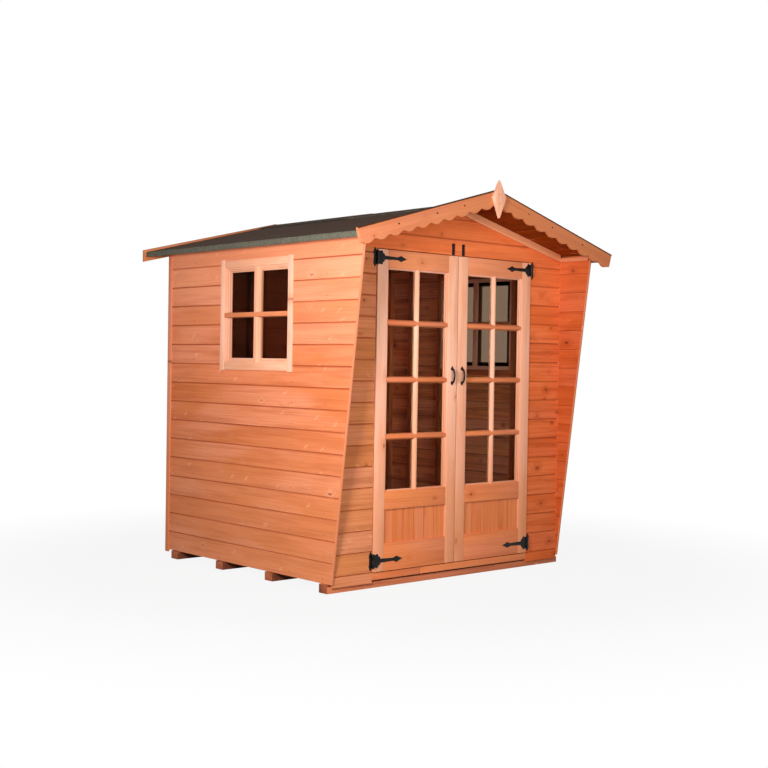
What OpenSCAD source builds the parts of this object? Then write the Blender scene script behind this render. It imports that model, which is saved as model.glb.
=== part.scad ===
// Garden summer house: shiplap walls on timber framing, an apex roof in felt,
// side walls that lean forward into porch wings, and a pair of glazed doors.
// Millimetres, +Z up, +Y towards the rear wall, +X to the right seen from the front.
// The origin is on the ground, at the middle of the whole part's footprint.

/* [House] */
// Width over the side walls' boards
body_w = 1818; // [1600:2:2400]
// Depth from the front wall's face to the rear wall's face
body_d = 1605; // [1400:5:2600]
// Height of the side walls' top edge above the ground
wall_top = 1895; // [1885:1:2100]
// How far the wings lean out in front of the front wall at their top
porch_d = 232; // [180:1:300]

/* [Base] */
// Height of the floor bearers
bearer_h = 48; // [35:1:75]
// Width of each bearer
bearer_w = 70; // [40:1:90]
// How far the bearers' ends reach past the side walls
bearer_out = 12; // [0:1:30]
// How far the front boards hang down over the front bearer
front_drop = 18; // [0:1:24]
// Number of bearers
bearer_n = 4; // [3:1:5]
// Distance from the rear wall's face to the last bearer
bearer_rear = 75; // [0:5:120]
// Thickness of the floor boards
floor_t = 15; // [12:1:22]
// Height of the sill under the doors and the front wall
threshold_h = 35; // [25:1:60]

/* [Walls] */
// Thickness of the shiplap boards
clad_t = 12; // [8:1:19]
// Depth of the wall framing behind the boards
frame_t = 34; // [28:1:45]
// Width of a stud or rail
stud_w = 34; // [28:1:45]
// Thickness of the strips on the rear corners
corner_t = 10; // [6:1:16]
// Width of the strips on the rear corners
corner_w = 35; // [25:1:60]
// How far the strips on the rear corners hang below the boards
corner_drop = 12; // [0:1:20]
// Thickness of the strips on the wings' leaning edges
wing_trim_t = 6; // [4:1:12]
// Width of the strips on the wings' leaning edges
wing_trim_w = 18; // [16:1:30]
// Height of the rail along the top of each wing
wing_rail_h = 34; // [25:1:40]
// Thickness of the rail along the top of each wing
wing_rail_t = 20; // [12:1:34]

/* [Roof] */
// Slope of the roof
roof_pitch = 14; // [12:0.5:20]
// Thickness of the roof boards
roof_t = 12; // [8:1:18]
// Thickness of the roofing felt
felt_t = 3; // [2:0.5:4]
// How far the roof boards reach past the side walls
eave_out = 88; // [60:1:120]
// How far the roof boards reach past the wings at the front
front_out = 52; // [40:1:120]
// How far the roof boards reach past the rear wall
rear_out = 130; // [60:5:180]
// Width of the batten under each eave
eave_batten_w = 18; // [12:1:30]
// Depth of the batten under each eave
eave_batten_h = 16; // [12:1:34]
// Reach of the ridge strip down each slope
ridge_strip_w = 150; // [100:5:200]
// Depth of the ridge beam and the rafters
rafter_h = 45; // [34:1:60]

/* [Bargeboards] */
// Width of the bargeboards, top edge to the scallops' tips
barge_w = 98; // [80:1:120]
// Thickness of the bargeboards
barge_t = 18; // [14:1:24]
// Slope of the front bargeboards, a little steeper than the roof
barge_pitch = 16; // [12:0.5:22]
// How far the front bargeboards stand above the ridge
barge_up = 50; // [10:1:60]
// How far the rear bargeboards stand above the felt
rear_barge_up = 6; // [3:1:20]
// How far the bargeboards reach past the eaves
barge_out = 18; // [10:1:40]
// Number of scallops on each front bargeboard
scallop_n = 10; // [6:1:12]
// Depth of the scallops
scallop_d = 20; // [10:1:26]
// Width of the plain rear bargeboards
rear_barge_w = 70; // [60:1:90]
// Width of the trim under the roof along the front gable
gable_trim_w = 32; // [20:1:45]
// Thickness of the trim under the roof along the front gable
gable_trim_t = 20; // [12:1:28]
// Height of the diamond at the front of the ridge
finial_h = 210; // [150:5:260]
// Width of the diamond
finial_w = 100; // [70:5:130]
// Thickness of the diamond
finial_t = 18; // [12:1:24]
// How far the diamond's tip stands above the bargeboards
finial_up = 52; // [30:1:80]

/* [Doors] */
// Half the width of the doorway's pair of doors
door_half = 616; // [540:1:700]
// Height of the doors
door_h = 1750; // [1650:1:1760]
// Thickness of the doors
door_t = 36; // [30:1:44]
// How far the doors stand proud of the front wall
door_proud = 6; // [2:1:12]
// Running gap round each door
door_gap = 5; // [4:1:8]
// Width of the door stiles
stile_w = 74; // [60:1:95]
// Height of the top rail
top_rail_h = 98; // [80:1:120]
// Height of the middle rail
mid_rail_h = 98; // [80:1:120]
// Height of the bottom rail
bottom_rail_h = 152; // [110:1:180]
// Height of the boarded panel at the foot of each door
panel_h = 184; // [140:1:240]
// Thickness of the boarded panel
panel_t = 12; // [8:1:16]
// Thickness of the door and window glass
glass_t = 4; // [3:1:6]
// Depth that panels and glass sit in their grooves
groove_d = 8; // [5:1:12]
// Width of the strip that the doors close against
stop_w = 14; // [8:1:24]
// Thickness of the strip that the doors close against
stop_t = 10; // [6:1:14]

/* [Windows] */
// Width of a side window over its trim
window_w = 682; // [500:1:760]
// Height of a side window over its trim
window_h = 641; // [500:1:680]
// Height of the window's foot above the ground
window_z = 1165; // [1100:1:1200]
// Distance from the front wall's face to the window
window_y = 354; // [300:1:420]
// Width of the window's upright trims
window_side_w = 38; // [28:1:50]
// Height of the window's head and foot rails
window_rail_h = 47; // [35:1:60]
// Thickness of the window frame
window_t = 30; // [24:1:40]
// How far the window frame stands proud of the wall
window_proud = 10; // [5:1:16]

/* [Ironmongery] */
// Length of a hinge strap from its pin
strap_l = 215; // [150:5:260]
// Width of a hinge strap
strap_w = 20; // [14:1:28]
// Thickness of the hinge iron
iron_t = 3; // [2:0.5:5]
// Height of a hinge's wall plate
plate_h = 105; // [70:5:140]
// Width of a hinge's wall plate
plate_w = 22; // [16:1:30]
// Radius of a hinge pin
pin_r = 3; // [2:0.5:4]
// Radius of a hinge knuckle
knuckle_r = 5.5; // [5:0.5:8]
// Height of the strap's knuckle
knuckle_h = 30; // [20:1:40]
// Running clearance between a hinge pin and its knuckle
pin_gap = 0.1; // [0.05:0.05:0.2]
// Clearance between the strap's knuckle and the fixed plate
knuckle_gap = 0.5; // [0.3:0.1:1.5]
// Distance from the top of a door to the upper strap's middle
upper_hinge_z = 45; // [35:1:90]
// Distance from the foot of a door to the lower strap's middle
lower_hinge_z = 60; // [40:1:110]
// Height of a bow handle
handle_h = 110; // [80:1:150]
// How far a bow handle stands off the door
handle_out = 32; // [28:1:45]
// Thickness of a handle's bar
handle_bar = 9; // [7:1:12]
// Distance from the doors' meeting line to a handle's middle
handle_x = 40; // [30:1:50]
// Distance from the top of the doors to a handle's middle
handle_z = 683; // [600:1:900]
// Height of the keepers above the doors
keeper_h = 66; // [40:1:75]
// Width of the keepers
keeper_w = 18; // [12:1:24]

/* [Hidden] */

$fn = 32;
// Slack that keeps cuts from ending on a face
eps = 1;
// Gap between pieces of one node that meet at a mitre
mitre_gap = 1;
// Air between sloping pieces that lie on each other
lay = 0.05;

slope = tan(roof_pitch);
// Vertical height of one unit of thickness measured square to the slope
lean = 1 / cos(roof_pitch);

half_w = body_w / 2;
inner_w = half_w - clad_t;
room_w = inner_w - frame_t;

// Height of the underside of the roof boards over the middle of the house
soffit_top = wall_top + half_w * slope;
ridge_top = soffit_top + (roof_t + 2 * felt_t) * lean;
barge_top = ridge_top + barge_up;
eave_x = half_w + eave_out;
barge_x = eave_x + barge_out;

// Depths are set out from the front wall's face at front_y
foot_front = porch_d + front_out + barge_t + finial_t;
foot_rear = body_d + rear_out + barge_t;
front_y = foot_front - (foot_front + foot_rear) / 2;
rear_y = front_y + body_d;
wing_y = front_y - porch_d;
roof_front = wing_y - front_out;
roof_rear = rear_y + rear_out;

floor_top = bearer_h + floor_t;
threshold_top = bearer_h + threshold_h;
stud_front = front_y + clad_t + frame_t;
stud_rear = rear_y - clad_t - frame_t;
rail_low = floor_top + stud_w;
rail_high = wall_top - stud_w;
door_z = threshold_top + door_gap;
door_top = door_z + door_h;
head_z = door_top + door_gap;
opening_half = door_half + door_gap;
door_face = front_y - door_proud;
glass_y = door_face + door_t - groove_d - glass_t;

// The hinge pins stand in front of the doors, over the running gap
pin_x = door_half + door_gap / 2;
pin_y = door_face - knuckle_r;
upper_pin_z = door_top - upper_hinge_z;
lower_pin_z = door_z + lower_hinge_z;

window_front = front_y + window_y;
hole_y = window_front + window_side_w / 2;
hole_z = window_z + window_rail_h / 2;
hole_w = window_w - window_side_w;
hole_h = window_h - window_rail_h;

timber = "#d9693a";
joinery = "#f0a67e";
felt_grey = "#4a4a42";
iron = "#161616";
pane = [0.75, 0.82, 0.85, 0.35];

// Height of the soffit over a place x from the middle of the house
function soffit(x) = soffit_top - abs(x) * slope;

// Depth of the wings' leaning edge at height z
function wing_edge(z) = front_y - porch_d * (z - bearer_h) / (wall_top - bearer_h);

// A box from one corner to the other
module block(from, to) {
    translate(from) cube(to - from);
}

// A profile drawn in X and Z, made solid from y0 to y1
module along_y(y0, y1) {
    translate([0, y1, 0]) rotate([90, 0, 0]) linear_extrude(y1 - y0) children();
}

// A profile drawn in Y and Z, made solid from x0 to x1
module along_x(x0, x1) {
    translate([x0, 0, 0]) rotate([90, 0, 90]) linear_extrude(x1 - x0) children();
}

// The children and their mirror image across the middle of the house
module both_sides() {
    children();
    mirror([1, 0, 0]) children();
}

// A band under the slope on the right-hand side, from x0 to x1,
// between depths near and far measured square to the slope above the soffit
module slope_band(x0, x1, near, far) {
    polygon([
        [x0, soffit(x0) + near * lean], [x1, soffit(x1) + near * lean],
        [x1, soffit(x1) + far * lean], [x0, soffit(x0) + far * lean]
    ]);
}

// ---- Base ----

module floor_bearers() {
    first_y = front_y + clad_t;
    last_y = rear_y - bearer_rear - bearer_w;
    end_x = half_w + bearer_out;
    color(timber)
    for (i = [0:bearer_n - 1]) {
        y = first_y + (last_y - first_y) * i / (bearer_n - 1);
        block([-end_x, y, 0], [end_x, y + bearer_w, bearer_h]);
    }
}

module floor_boards() {
    color(timber)
    block([-inner_w, stud_front, bearer_h], [inner_w, rear_y - clad_t, floor_top]);
}

// Sill under the front wall, brought forward between the doorway's boards
module threshold() {
    color(timber)
    union() {
        block([-inner_w, front_y + clad_t, bearer_h], [inner_w, stud_front, threshold_top]);
        block([-opening_half, front_y, bearer_h], [opening_half, stud_front, threshold_top]);
    }
}

// ---- Walls ----

// One side wall's boards: upright at the rear, leaning out at the front
module side_boards() {
    along_x(inner_w, half_w) difference() {
        polygon([[front_y, bearer_h], [rear_y, bearer_h], [rear_y, wall_top], [wing_y, wall_top]]);
        translate([hole_y, hole_z]) square([hole_w, hole_h]);
    }
}

module right_wall() {
    color(timber) side_boards();
}

module left_wall() {
    color(timber) mirror([1, 0, 0]) side_boards();
}

module rear_wall() {
    color(timber)
    along_y(rear_y - clad_t, rear_y)
    polygon([
        [-inner_w, bearer_h], [inner_w, bearer_h], [inner_w, soffit(inner_w)],
        [0, soffit_top], [-inner_w, soffit(inner_w)]
    ]);
}

module front_boards() {
    block([opening_half, front_y, bearer_h - front_drop], [inner_w, front_y + clad_t, head_z]);
}

module front_wall_right() {
    color(timber) front_boards();
}

module front_wall_left() {
    color(timber) mirror([1, 0, 0]) front_boards();
}

module front_gable() {
    color(timber)
    along_y(front_y, front_y + clad_t)
    polygon([
        [-inner_w, head_z], [inner_w, head_z], [inner_w, soffit(inner_w)],
        [0, soffit_top], [-inner_w, soffit(inner_w)]
    ]);
}

// ---- Wall framing ----

// Studs of one side wall: at both ends, beside the window and half-way behind it
module side_studs() {
    hole_end = hole_y + hole_w;
    middle = (hole_end + stud_w + stud_rear) / 2;
    for (y = [stud_front, hole_y - stud_w, hole_end, middle, stud_rear - stud_w])
        block([room_w, y, rail_low], [inner_w, y + stud_w, rail_high]);
}

module right_studs() {
    color(timber) side_studs();
}

module left_studs() {
    color(timber) mirror([1, 0, 0]) side_studs();
}

// Bottom rail, top rail cut to the roof's slope, and the rails over and under the window
module side_rails() {
    block([room_w, stud_front, floor_top], [inner_w, stud_rear, rail_low]);
    along_y(stud_front, stud_rear)
    polygon([
        [room_w, rail_high], [inner_w, rail_high],
        [inner_w, soffit(inner_w)], [room_w, soffit(room_w)]
    ]);
    for (z = [hole_z - stud_w, hole_z + hole_h])
        block([room_w, hole_y, z], [inner_w, hole_y + hole_w, z + min(stud_w, rail_high - z - eps)]);
}

module right_rails() {
    color(timber) side_rails();
}

module left_rails() {
    color(timber) mirror([1, 0, 0]) side_rails();
}

// Upright from the bottom rail to the sloping top rail, standing at x
module gable_stud(x) {
    polygon([
        [x, rail_low], [x + stud_w, rail_low],
        [x + stud_w, soffit(x + stud_w) - (stud_w + lay) * lean],
        [x, soffit(x) - (stud_w + lay) * lean]
    ]);
}

module rear_studs() {
    color(timber)
    along_y(stud_rear, rear_y - clad_t) {
        both_sides_flat() {
            gable_stud(inner_w - stud_w);
            gable_stud(inner_w / 3);
        }
    }
}

// The flat profile and its mirror image
module both_sides_flat() {
    children();
    mirror([1, 0]) children();
}

module rear_rails() {
    color(timber)
    along_y(stud_rear, rear_y - clad_t) {
        translate([-inner_w, floor_top]) square([2 * inner_w, stud_w]);
        both_sides_flat() slope_band(mitre_gap, inner_w, -stud_w, 0);
    }
}

// Door posts and corner studs of the front wall
module front_studs() {
    color(timber)
    along_y(front_y + clad_t, stud_front)
    both_sides_flat() {
        for (x = [opening_half, inner_w - stud_w])
            translate([x, threshold_top]) square([stud_w, head_z - threshold_top]);
    }
}

// Header over the doors and the gable's sloping rails
module front_rails() {
    color(timber)
    along_y(front_y + clad_t, stud_front) {
        translate([-inner_w, head_z]) square([2 * inner_w, stud_w]);
        both_sides_flat()
        intersection() {
            slope_band(mitre_gap, inner_w, -stud_w, 0);
            translate([0, head_z + stud_w + mitre_gap]) square([inner_w, body_w]);
        }
    }
}

// Strips that the doors close against, at the sides and over the top
module door_stops() {
    y0 = door_face + door_t + door_gap;
    color(joinery)
    along_y(y0, y0 + stop_t) {
        translate([-opening_half, head_z - stop_w]) square([2 * opening_half, stop_w]);
        both_sides_flat()
        translate([opening_half - stop_w, threshold_top])
        square([stop_w, head_z - stop_w - mitre_gap - threshold_top]);
    }
}

// ---- Wings ----

// Strip on each wing's leaning edge, over the boards' ends
module wing_trims() {
    run = atan(porch_d / (wall_top - bearer_h));
    thick = wing_trim_t / cos(run);
    color(joinery)
    both_sides()
    along_x(half_w - wing_trim_w, half_w)
    polygon([
        [wing_edge(bearer_h) - thick, bearer_h], [wing_edge(bearer_h), bearer_h],
        [wing_edge(wall_top), wall_top], [wing_edge(wall_top) - thick, wall_top]
    ]);
}

// Rail along the top of each wing, on its inner face
module wing_rails() {
    z0 = wall_top - wing_rail_h;
    color(joinery)
    both_sides()
    along_x(inner_w - wing_rail_t, inner_w)
    polygon([[wing_edge(z0), z0], [front_y, z0], [front_y, wall_top], [wing_y, wall_top]]);
}

module rear_corner_strips() {
    color(joinery)
    both_sides()
    block([half_w, rear_y - corner_w, bearer_h - corner_drop], [half_w + corner_t, rear_y, wall_top - corner_w]);
}

// ---- Windows ----

// Window frame: a ring that fills the hole in the boards, with a flange over its edge
module window_frame() {
    in_w = window_w - 2 * window_side_w;
    in_h = window_h - 2 * window_rail_h;
    in_y = window_front + window_side_w;
    in_z = window_z + window_rail_h;
    difference() {
        union() {
            along_x(half_w, half_w + window_proud)
            translate([window_front, window_z]) square([window_w, window_h]);
            along_x(half_w + window_proud - window_t, half_w)
            translate([hole_y, hole_z]) square([hole_w, hole_h]);
        }
        along_x(half_w - window_t, half_w + window_proud + eps)
        translate([in_y, in_z]) square([in_w, in_h]);
    }
}

module right_window_frame() {
    color(joinery) window_frame();
}

module left_window_frame() {
    color(joinery) mirror([1, 0, 0]) window_frame();
}

// A pane in the middle of each window's frame, edge to edge
module window_glass() {
    x0 = half_w + window_proud - window_t / 2 - glass_t / 2;
    color(pane)
    both_sides()
    block([x0, window_front + window_side_w, window_z + window_rail_h],
          [x0 + glass_t, window_front + window_w - window_side_w, window_z + window_h - window_rail_h]);
}

// ---- Roof ----

module roof_boards() {
    color(timber)
    along_y(roof_front, roof_rear)
    both_sides_flat() slope_band(mitre_gap / 2, eave_x, lay, roof_t);
}

module eave_battens() {
    color(timber)
    along_y(roof_front, roof_rear)
    both_sides_flat() slope_band(eave_x - eave_batten_w, eave_x, -eave_batten_h, 0);
}

module ridge_beam() {
    half = stud_w / 2;
    color(timber)
    along_y(stud_front, stud_rear)
    polygon([
        [-half, soffit(half) - rafter_h * lean], [half, soffit(half) - rafter_h * lean],
        [half, soffit(half)], [0, soffit_top], [-half, soffit(half)]
    ]);
}

module rafters() {
    middle = (stud_front + stud_rear) / 2;
    color(timber)
    along_y(middle - stud_w / 2, middle + stud_w / 2)
    both_sides_flat() slope_band(stud_w / 2, room_w, -rafter_h, 0);
}

// Felt on one slope, turned down over the eave batten
module slope_felt() {
    along_y(roof_front, roof_rear) {
        slope_band(mitre_gap / 2, eave_x + felt_t, roof_t + lay, roof_t + felt_t);
        slope_band(eave_x, eave_x + felt_t, -eave_batten_h, roof_t + felt_t);
    }
}

module right_felt() {
    color(felt_grey) slope_felt();
}

module left_felt() {
    color(felt_grey) mirror([1, 0, 0]) slope_felt();
}

module ridge_felt() {
    base = roof_t + felt_t;
    color(felt_grey)
    along_y(roof_front, roof_rear)
    both_sides_flat() slope_band(0, ridge_strip_w, base + lay, base + felt_t);
}

// ---- Bargeboards ----

module gable_trim() {
    color(joinery)
    along_y(front_y - gable_trim_t, front_y)
    both_sides_flat() slope_band(mitre_gap / 2, inner_w - wing_rail_t, -gable_trim_w, 0);
}

// One front bargeboard, drawn along the slope: its lower edge is a row of
// hollows, each an arc between two pointed tips
module scalloped_board() {
    length = barge_x / cos(barge_pitch);
    pitch = length / (scallop_n + 0.5);
    steps = 8;
    hollows = [for (i = [0:scallop_n - 1]) for (k = [0:steps])
        let (u = k / steps)
        [pitch * (i + 0.5 + u), -barge_w + scallop_d * sin(180 * u)]];
    ridge_run = barge_w * tan(barge_pitch);
    intersection() {
        rotate(-barge_pitch)
        polygon(concat(
            [[-ridge_run, 0], [-ridge_run, scallop_d - barge_w], [pitch / 2, scallop_d - barge_w]],
            hollows, [[length, 0]]));
        translate([mitre_gap / 2, -barge_top]) square([barge_x * 2, 2 * barge_top]);
    }
}

module front_board() {
    along_y(roof_front - barge_t, roof_front) translate([0, barge_top]) scalloped_board();
}

module right_bargeboard() {
    color(joinery) front_board();
}

module left_bargeboard() {
    color(joinery) mirror([1, 0, 0]) front_board();
}

module rear_bargeboards() {
    top = roof_t + 2 * felt_t + rear_barge_up;
    color(joinery)
    along_y(roof_rear, roof_rear + barge_t)
    both_sides_flat() slope_band(mitre_gap / 2, barge_x, top - rear_barge_w, top);
}

module finial() {
    tip = barge_top + finial_up;
    wide = tip - 0.46 * finial_h;
    y1 = roof_front - barge_t;
    color(joinery)
    along_y(y1 - finial_t, y1)
    polygon([[0, tip], [finial_w / 2, wide], [0, tip - finial_h], [-finial_w / 2, wide]]);
}

// ---- Doors, drawn as the right-hand leaf ----

leaf_x0 = door_gap / 2;
leaf_w = door_half - leaf_x0;
panel_z = door_z + bottom_rail_h;
mid_z = panel_z + panel_h;
light_z = mid_z + mid_rail_h;
light_top = door_top - top_rail_h;

module leaf_frame() {
    in_w = leaf_w - 2 * stile_w;
    along_y(door_face, door_face + door_t)
    difference() {
        translate([leaf_x0, door_z]) square([leaf_w, door_h]);
        translate([leaf_x0 + stile_w, panel_z]) square([in_w, panel_h]);
        translate([leaf_x0 + stile_w, light_z]) square([in_w, light_top - light_z]);
    }
}

module right_door_frame() {
    color(joinery) leaf_frame();
}

module left_door_frame() {
    color(joinery) mirror([1, 0, 0]) leaf_frame();
}

module leaf_panel() {
    y0 = door_face + (door_t - panel_t) / 2;
    block([leaf_x0 + stile_w, y0, panel_z], [leaf_x0 + leaf_w - stile_w, y0 + panel_t, mid_z]);
}

module right_door_panel() {
    color(joinery) leaf_panel();
}

module left_door_panel() {
    color(joinery) mirror([1, 0, 0]) leaf_panel();
}

module leaf_glass() {
    block([leaf_x0 + stile_w, glass_y, light_z],
          [leaf_x0 + leaf_w - stile_w, glass_y + glass_t, light_top]);
}

module right_door_glass() {
    color(pane) leaf_glass();
}

module left_door_glass() {
    color(pane) mirror([1, 0, 0]) leaf_glass();
}

// ---- Ironmongery ----

// A strap hinge's moving half: a knuckle round the pin and a strap with a pointed end
module strap(z) {
    tip = pin_x - strap_l;
    spear_x = tip + 2 * strap_w;
    spear_h = 0.85 * strap_w;
    half = strap_w / 2;
    difference() {
        union() {
            translate([pin_x, pin_y, z - knuckle_h / 2]) cylinder(h = knuckle_h, r = knuckle_r);
            along_y(door_face - iron_t, door_face)
            translate([0, z])
            polygon([
                [pin_x, -half], [pin_x, half], [spear_x + half, half], [spear_x, spear_h],
                [tip, 0], [spear_x, -spear_h], [spear_x + half, -half]
            ]);
        }
        translate([pin_x, pin_y, z - knuckle_h / 2 - eps])
        cylinder(h = knuckle_h + 2 * eps, r = pin_r + pin_gap);
    }
}

module leaf_straps() {
    strap(upper_pin_z);
    strap(lower_pin_z);
}

module right_door_straps() {
    color(iron) leaf_straps();
}

module left_door_straps() {
    color(iron) mirror([1, 0, 0]) leaf_straps();
}

// The fixed half: a wall plate with a knuckle above and below the strap's, and the pin
module plate(z) {
    end_h = (plate_h - knuckle_h) / 2 - knuckle_gap;
    plate_x = pin_x + knuckle_r + knuckle_gap;
    translate([pin_x, pin_y, z - plate_h / 2]) cylinder(h = plate_h, r = pin_r);
    for (z0 = [z - plate_h / 2, z + plate_h / 2 - end_h]) {
        translate([pin_x, pin_y, z0]) cylinder(h = end_h, r = knuckle_r);
        block([pin_x, pin_y, z0], [plate_x, pin_y + iron_t, z0 + end_h]);
    }
    block([plate_x, pin_y, z - plate_h / 2], [plate_x + iron_t, front_y, z + plate_h / 2]);
    block([plate_x, front_y - iron_t, z - plate_h / 2], [plate_x + plate_w, front_y, z + plate_h / 2]);
}

module hinge_plates() {
    color(iron)
    both_sides() {
        plate(upper_pin_z);
        plate(lower_pin_z);
    }
}

// A bow handle: two feet on the door, and a bar bent outwards between them
module bow_handle() {
    z = door_top - handle_z;
    half = handle_bar / 2;
    arc_out = handle_out - handle_bar;
    steps = 12;
    outer = [for (k = [0:steps]) let (a = 180 * k / steps)
        [door_face - handle_out * sin(a), z - handle_h / 2 * cos(a)]];
    inner = [for (k = [steps:-1:0]) let (a = 180 * k / steps)
        [door_face - arc_out * sin(a), z - (handle_h / 2 - handle_bar) * cos(a)]];
    along_x(handle_x - half, handle_x + half) polygon(concat(outer, inner));
}

module right_door_handle() {
    color(iron) bow_handle();
}

module left_door_handle() {
    color(iron) mirror([1, 0, 0]) bow_handle();
}

// Small iron keepers on the gable, just above the doors' meeting stiles
module door_keepers() {
    color(iron)
    both_sides()
    block([handle_x - keeper_w / 2, front_y - iron_t, head_z],
          [handle_x + keeper_w / 2, front_y, head_z + keeper_h]);
}

floor_bearers();
floor_boards();
threshold();
left_wall();
right_wall();
rear_wall();
front_wall_left();
front_wall_right();
front_gable();
left_studs();
right_studs();
left_rails();
right_rails();
rear_studs();
rear_rails();
front_studs();
front_rails();
door_stops();
wing_trims();
wing_rails();
rear_corner_strips();
left_window_frame();
right_window_frame();
window_glass();
roof_boards();
eave_battens();
ridge_beam();
rafters();
left_felt();
right_felt();
ridge_felt();
gable_trim();
left_bargeboard();
right_bargeboard();
rear_bargeboards();
finial();
left_door_frame();
left_door_panel();
left_door_glass();
left_door_straps();
left_door_handle();
right_door_frame();
right_door_panel();
right_door_glass();
right_door_straps();
right_door_handle();
hinge_plates();
door_keepers();
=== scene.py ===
import math
import random
from functools import partial

import bmesh
import bpy
from mathutils import Matrix, Vector


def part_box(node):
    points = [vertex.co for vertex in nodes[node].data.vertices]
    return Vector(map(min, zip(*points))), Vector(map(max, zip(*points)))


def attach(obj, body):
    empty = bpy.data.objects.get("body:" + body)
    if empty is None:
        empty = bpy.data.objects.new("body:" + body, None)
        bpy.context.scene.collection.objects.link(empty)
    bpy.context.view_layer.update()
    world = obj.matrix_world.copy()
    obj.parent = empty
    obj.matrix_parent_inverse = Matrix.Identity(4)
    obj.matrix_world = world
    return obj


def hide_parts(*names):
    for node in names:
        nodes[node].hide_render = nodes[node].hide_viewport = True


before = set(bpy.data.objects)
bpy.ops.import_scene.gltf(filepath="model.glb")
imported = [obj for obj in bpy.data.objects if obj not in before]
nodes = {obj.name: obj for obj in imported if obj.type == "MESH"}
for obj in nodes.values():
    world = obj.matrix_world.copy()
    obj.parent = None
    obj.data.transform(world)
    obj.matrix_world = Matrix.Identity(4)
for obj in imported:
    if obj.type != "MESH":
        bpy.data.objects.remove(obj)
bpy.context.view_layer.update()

mm = 0.001
sides = (("left", -1), ("right", 1))
scene = bpy.context.scene
print("frame loaded:", len(nodes), "parts")


def hexColour(text):
    channels = [int(text[i:i + 2], 16) / 255 for i in (1, 3, 5)]
    return [c / 12.92 if c <= 0.04045 else ((c + 0.055) / 1.055) ** 2.4 for c in channels] + [1.0]


def addNode(tree, kind, inputs=(), **settings):
    # one node with its settings, its links and its numbers; inputs come in order or by socket; gives its outputs
    node = tree.nodes.new(kind)
    for name, value in settings.items():
        setattr(node, name, value)
    for socket, value in inputs.items() if isinstance(inputs, dict) else enumerate(inputs):
        if isinstance(value, bpy.types.NodeSocket):
            tree.links.new(value, node.inputs[socket])
        else:
            isHex = isinstance(value, str) and value.startswith("#")
            node.inputs[socket].default_value = hexColour(value) if isHex else value
    return node.outputs


def metres(*place):
    # a place given in millimetres
    return Vector(place) * mm


def meshFrom(bm, name):
    mesh = bpy.data.meshes.new(name)
    bm.to_mesh(mesh)
    bm.free()
    return mesh


def addObject(name, mesh, material=None):
    obj = bpy.data.objects.new(name, mesh)
    scene.collection.objects.link(obj)
    if material:
        mesh.materials.clear()
        mesh.materials.append(material)
    return obj


def dress(name, shape, material, slot, *standsFor, body="house", smooth=30):
    # a finished piece: its material, the body it moves with and the parts it stands for
    mesh = meshFrom(shape, name) if isinstance(shape, bmesh.types.BMesh) else shape
    obj = addObject(name, mesh, material)
    if smooth:
        mesh.shade_smooth()
        mesh.set_sharp_from_angle(angle=math.radians(smooth))
    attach(obj, body)
    if standsFor:
        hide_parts(*standsFor)
    return obj


def newMaterial(name):
    material = bpy.data.materials.new(name)
    material.use_nodes = True
    material.node_tree.nodes.clear()
    return material, partial(addNode, material.node_tree)


def finishMaterial(material, add, sockets):
    shader = add("ShaderNodeBsdfPrincipled", sockets)
    add("ShaderNodeOutputMaterial", [shader[0]])
    return material


def stretchedNoise(add, vector, scale, detail, start=(0, 0, 0)):
    # soft noise with that many cycles a metre along each axis
    spot = add("ShaderNodeMapping", {"Vector": vector, "Location": start, "Scale": scale})[0]
    return add("ShaderNodeTexNoise", {"Vector": spot, "Scale": 1.0, "Detail": detail, "Roughness": 0.55})[0]


eased = {"interpolation_type": "SMOOTHSTEP"}
rgba = {"data_type": "RGBA"}
grainTurn = {"X": (0, 0, 0), "Y": (0, 0, -math.pi / 2), "Z": (0, math.pi / 2, 0)}
knotValues = {
    "cells": (5.0, 8.0, 1.0), "ragged": (0.03, 0.016, 0), "core": (0.03, 0.085), "halo": (0.05, 0.32),
    "faintCore": 0.12, "faintHalo": 0.4, "spikeLean": 0.5, "spikeCells": (8, 24, 1), "spikeReach": (0.06, 0.26),
    "spikeFrom": 0.93, "push": 0.02,
}


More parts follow.
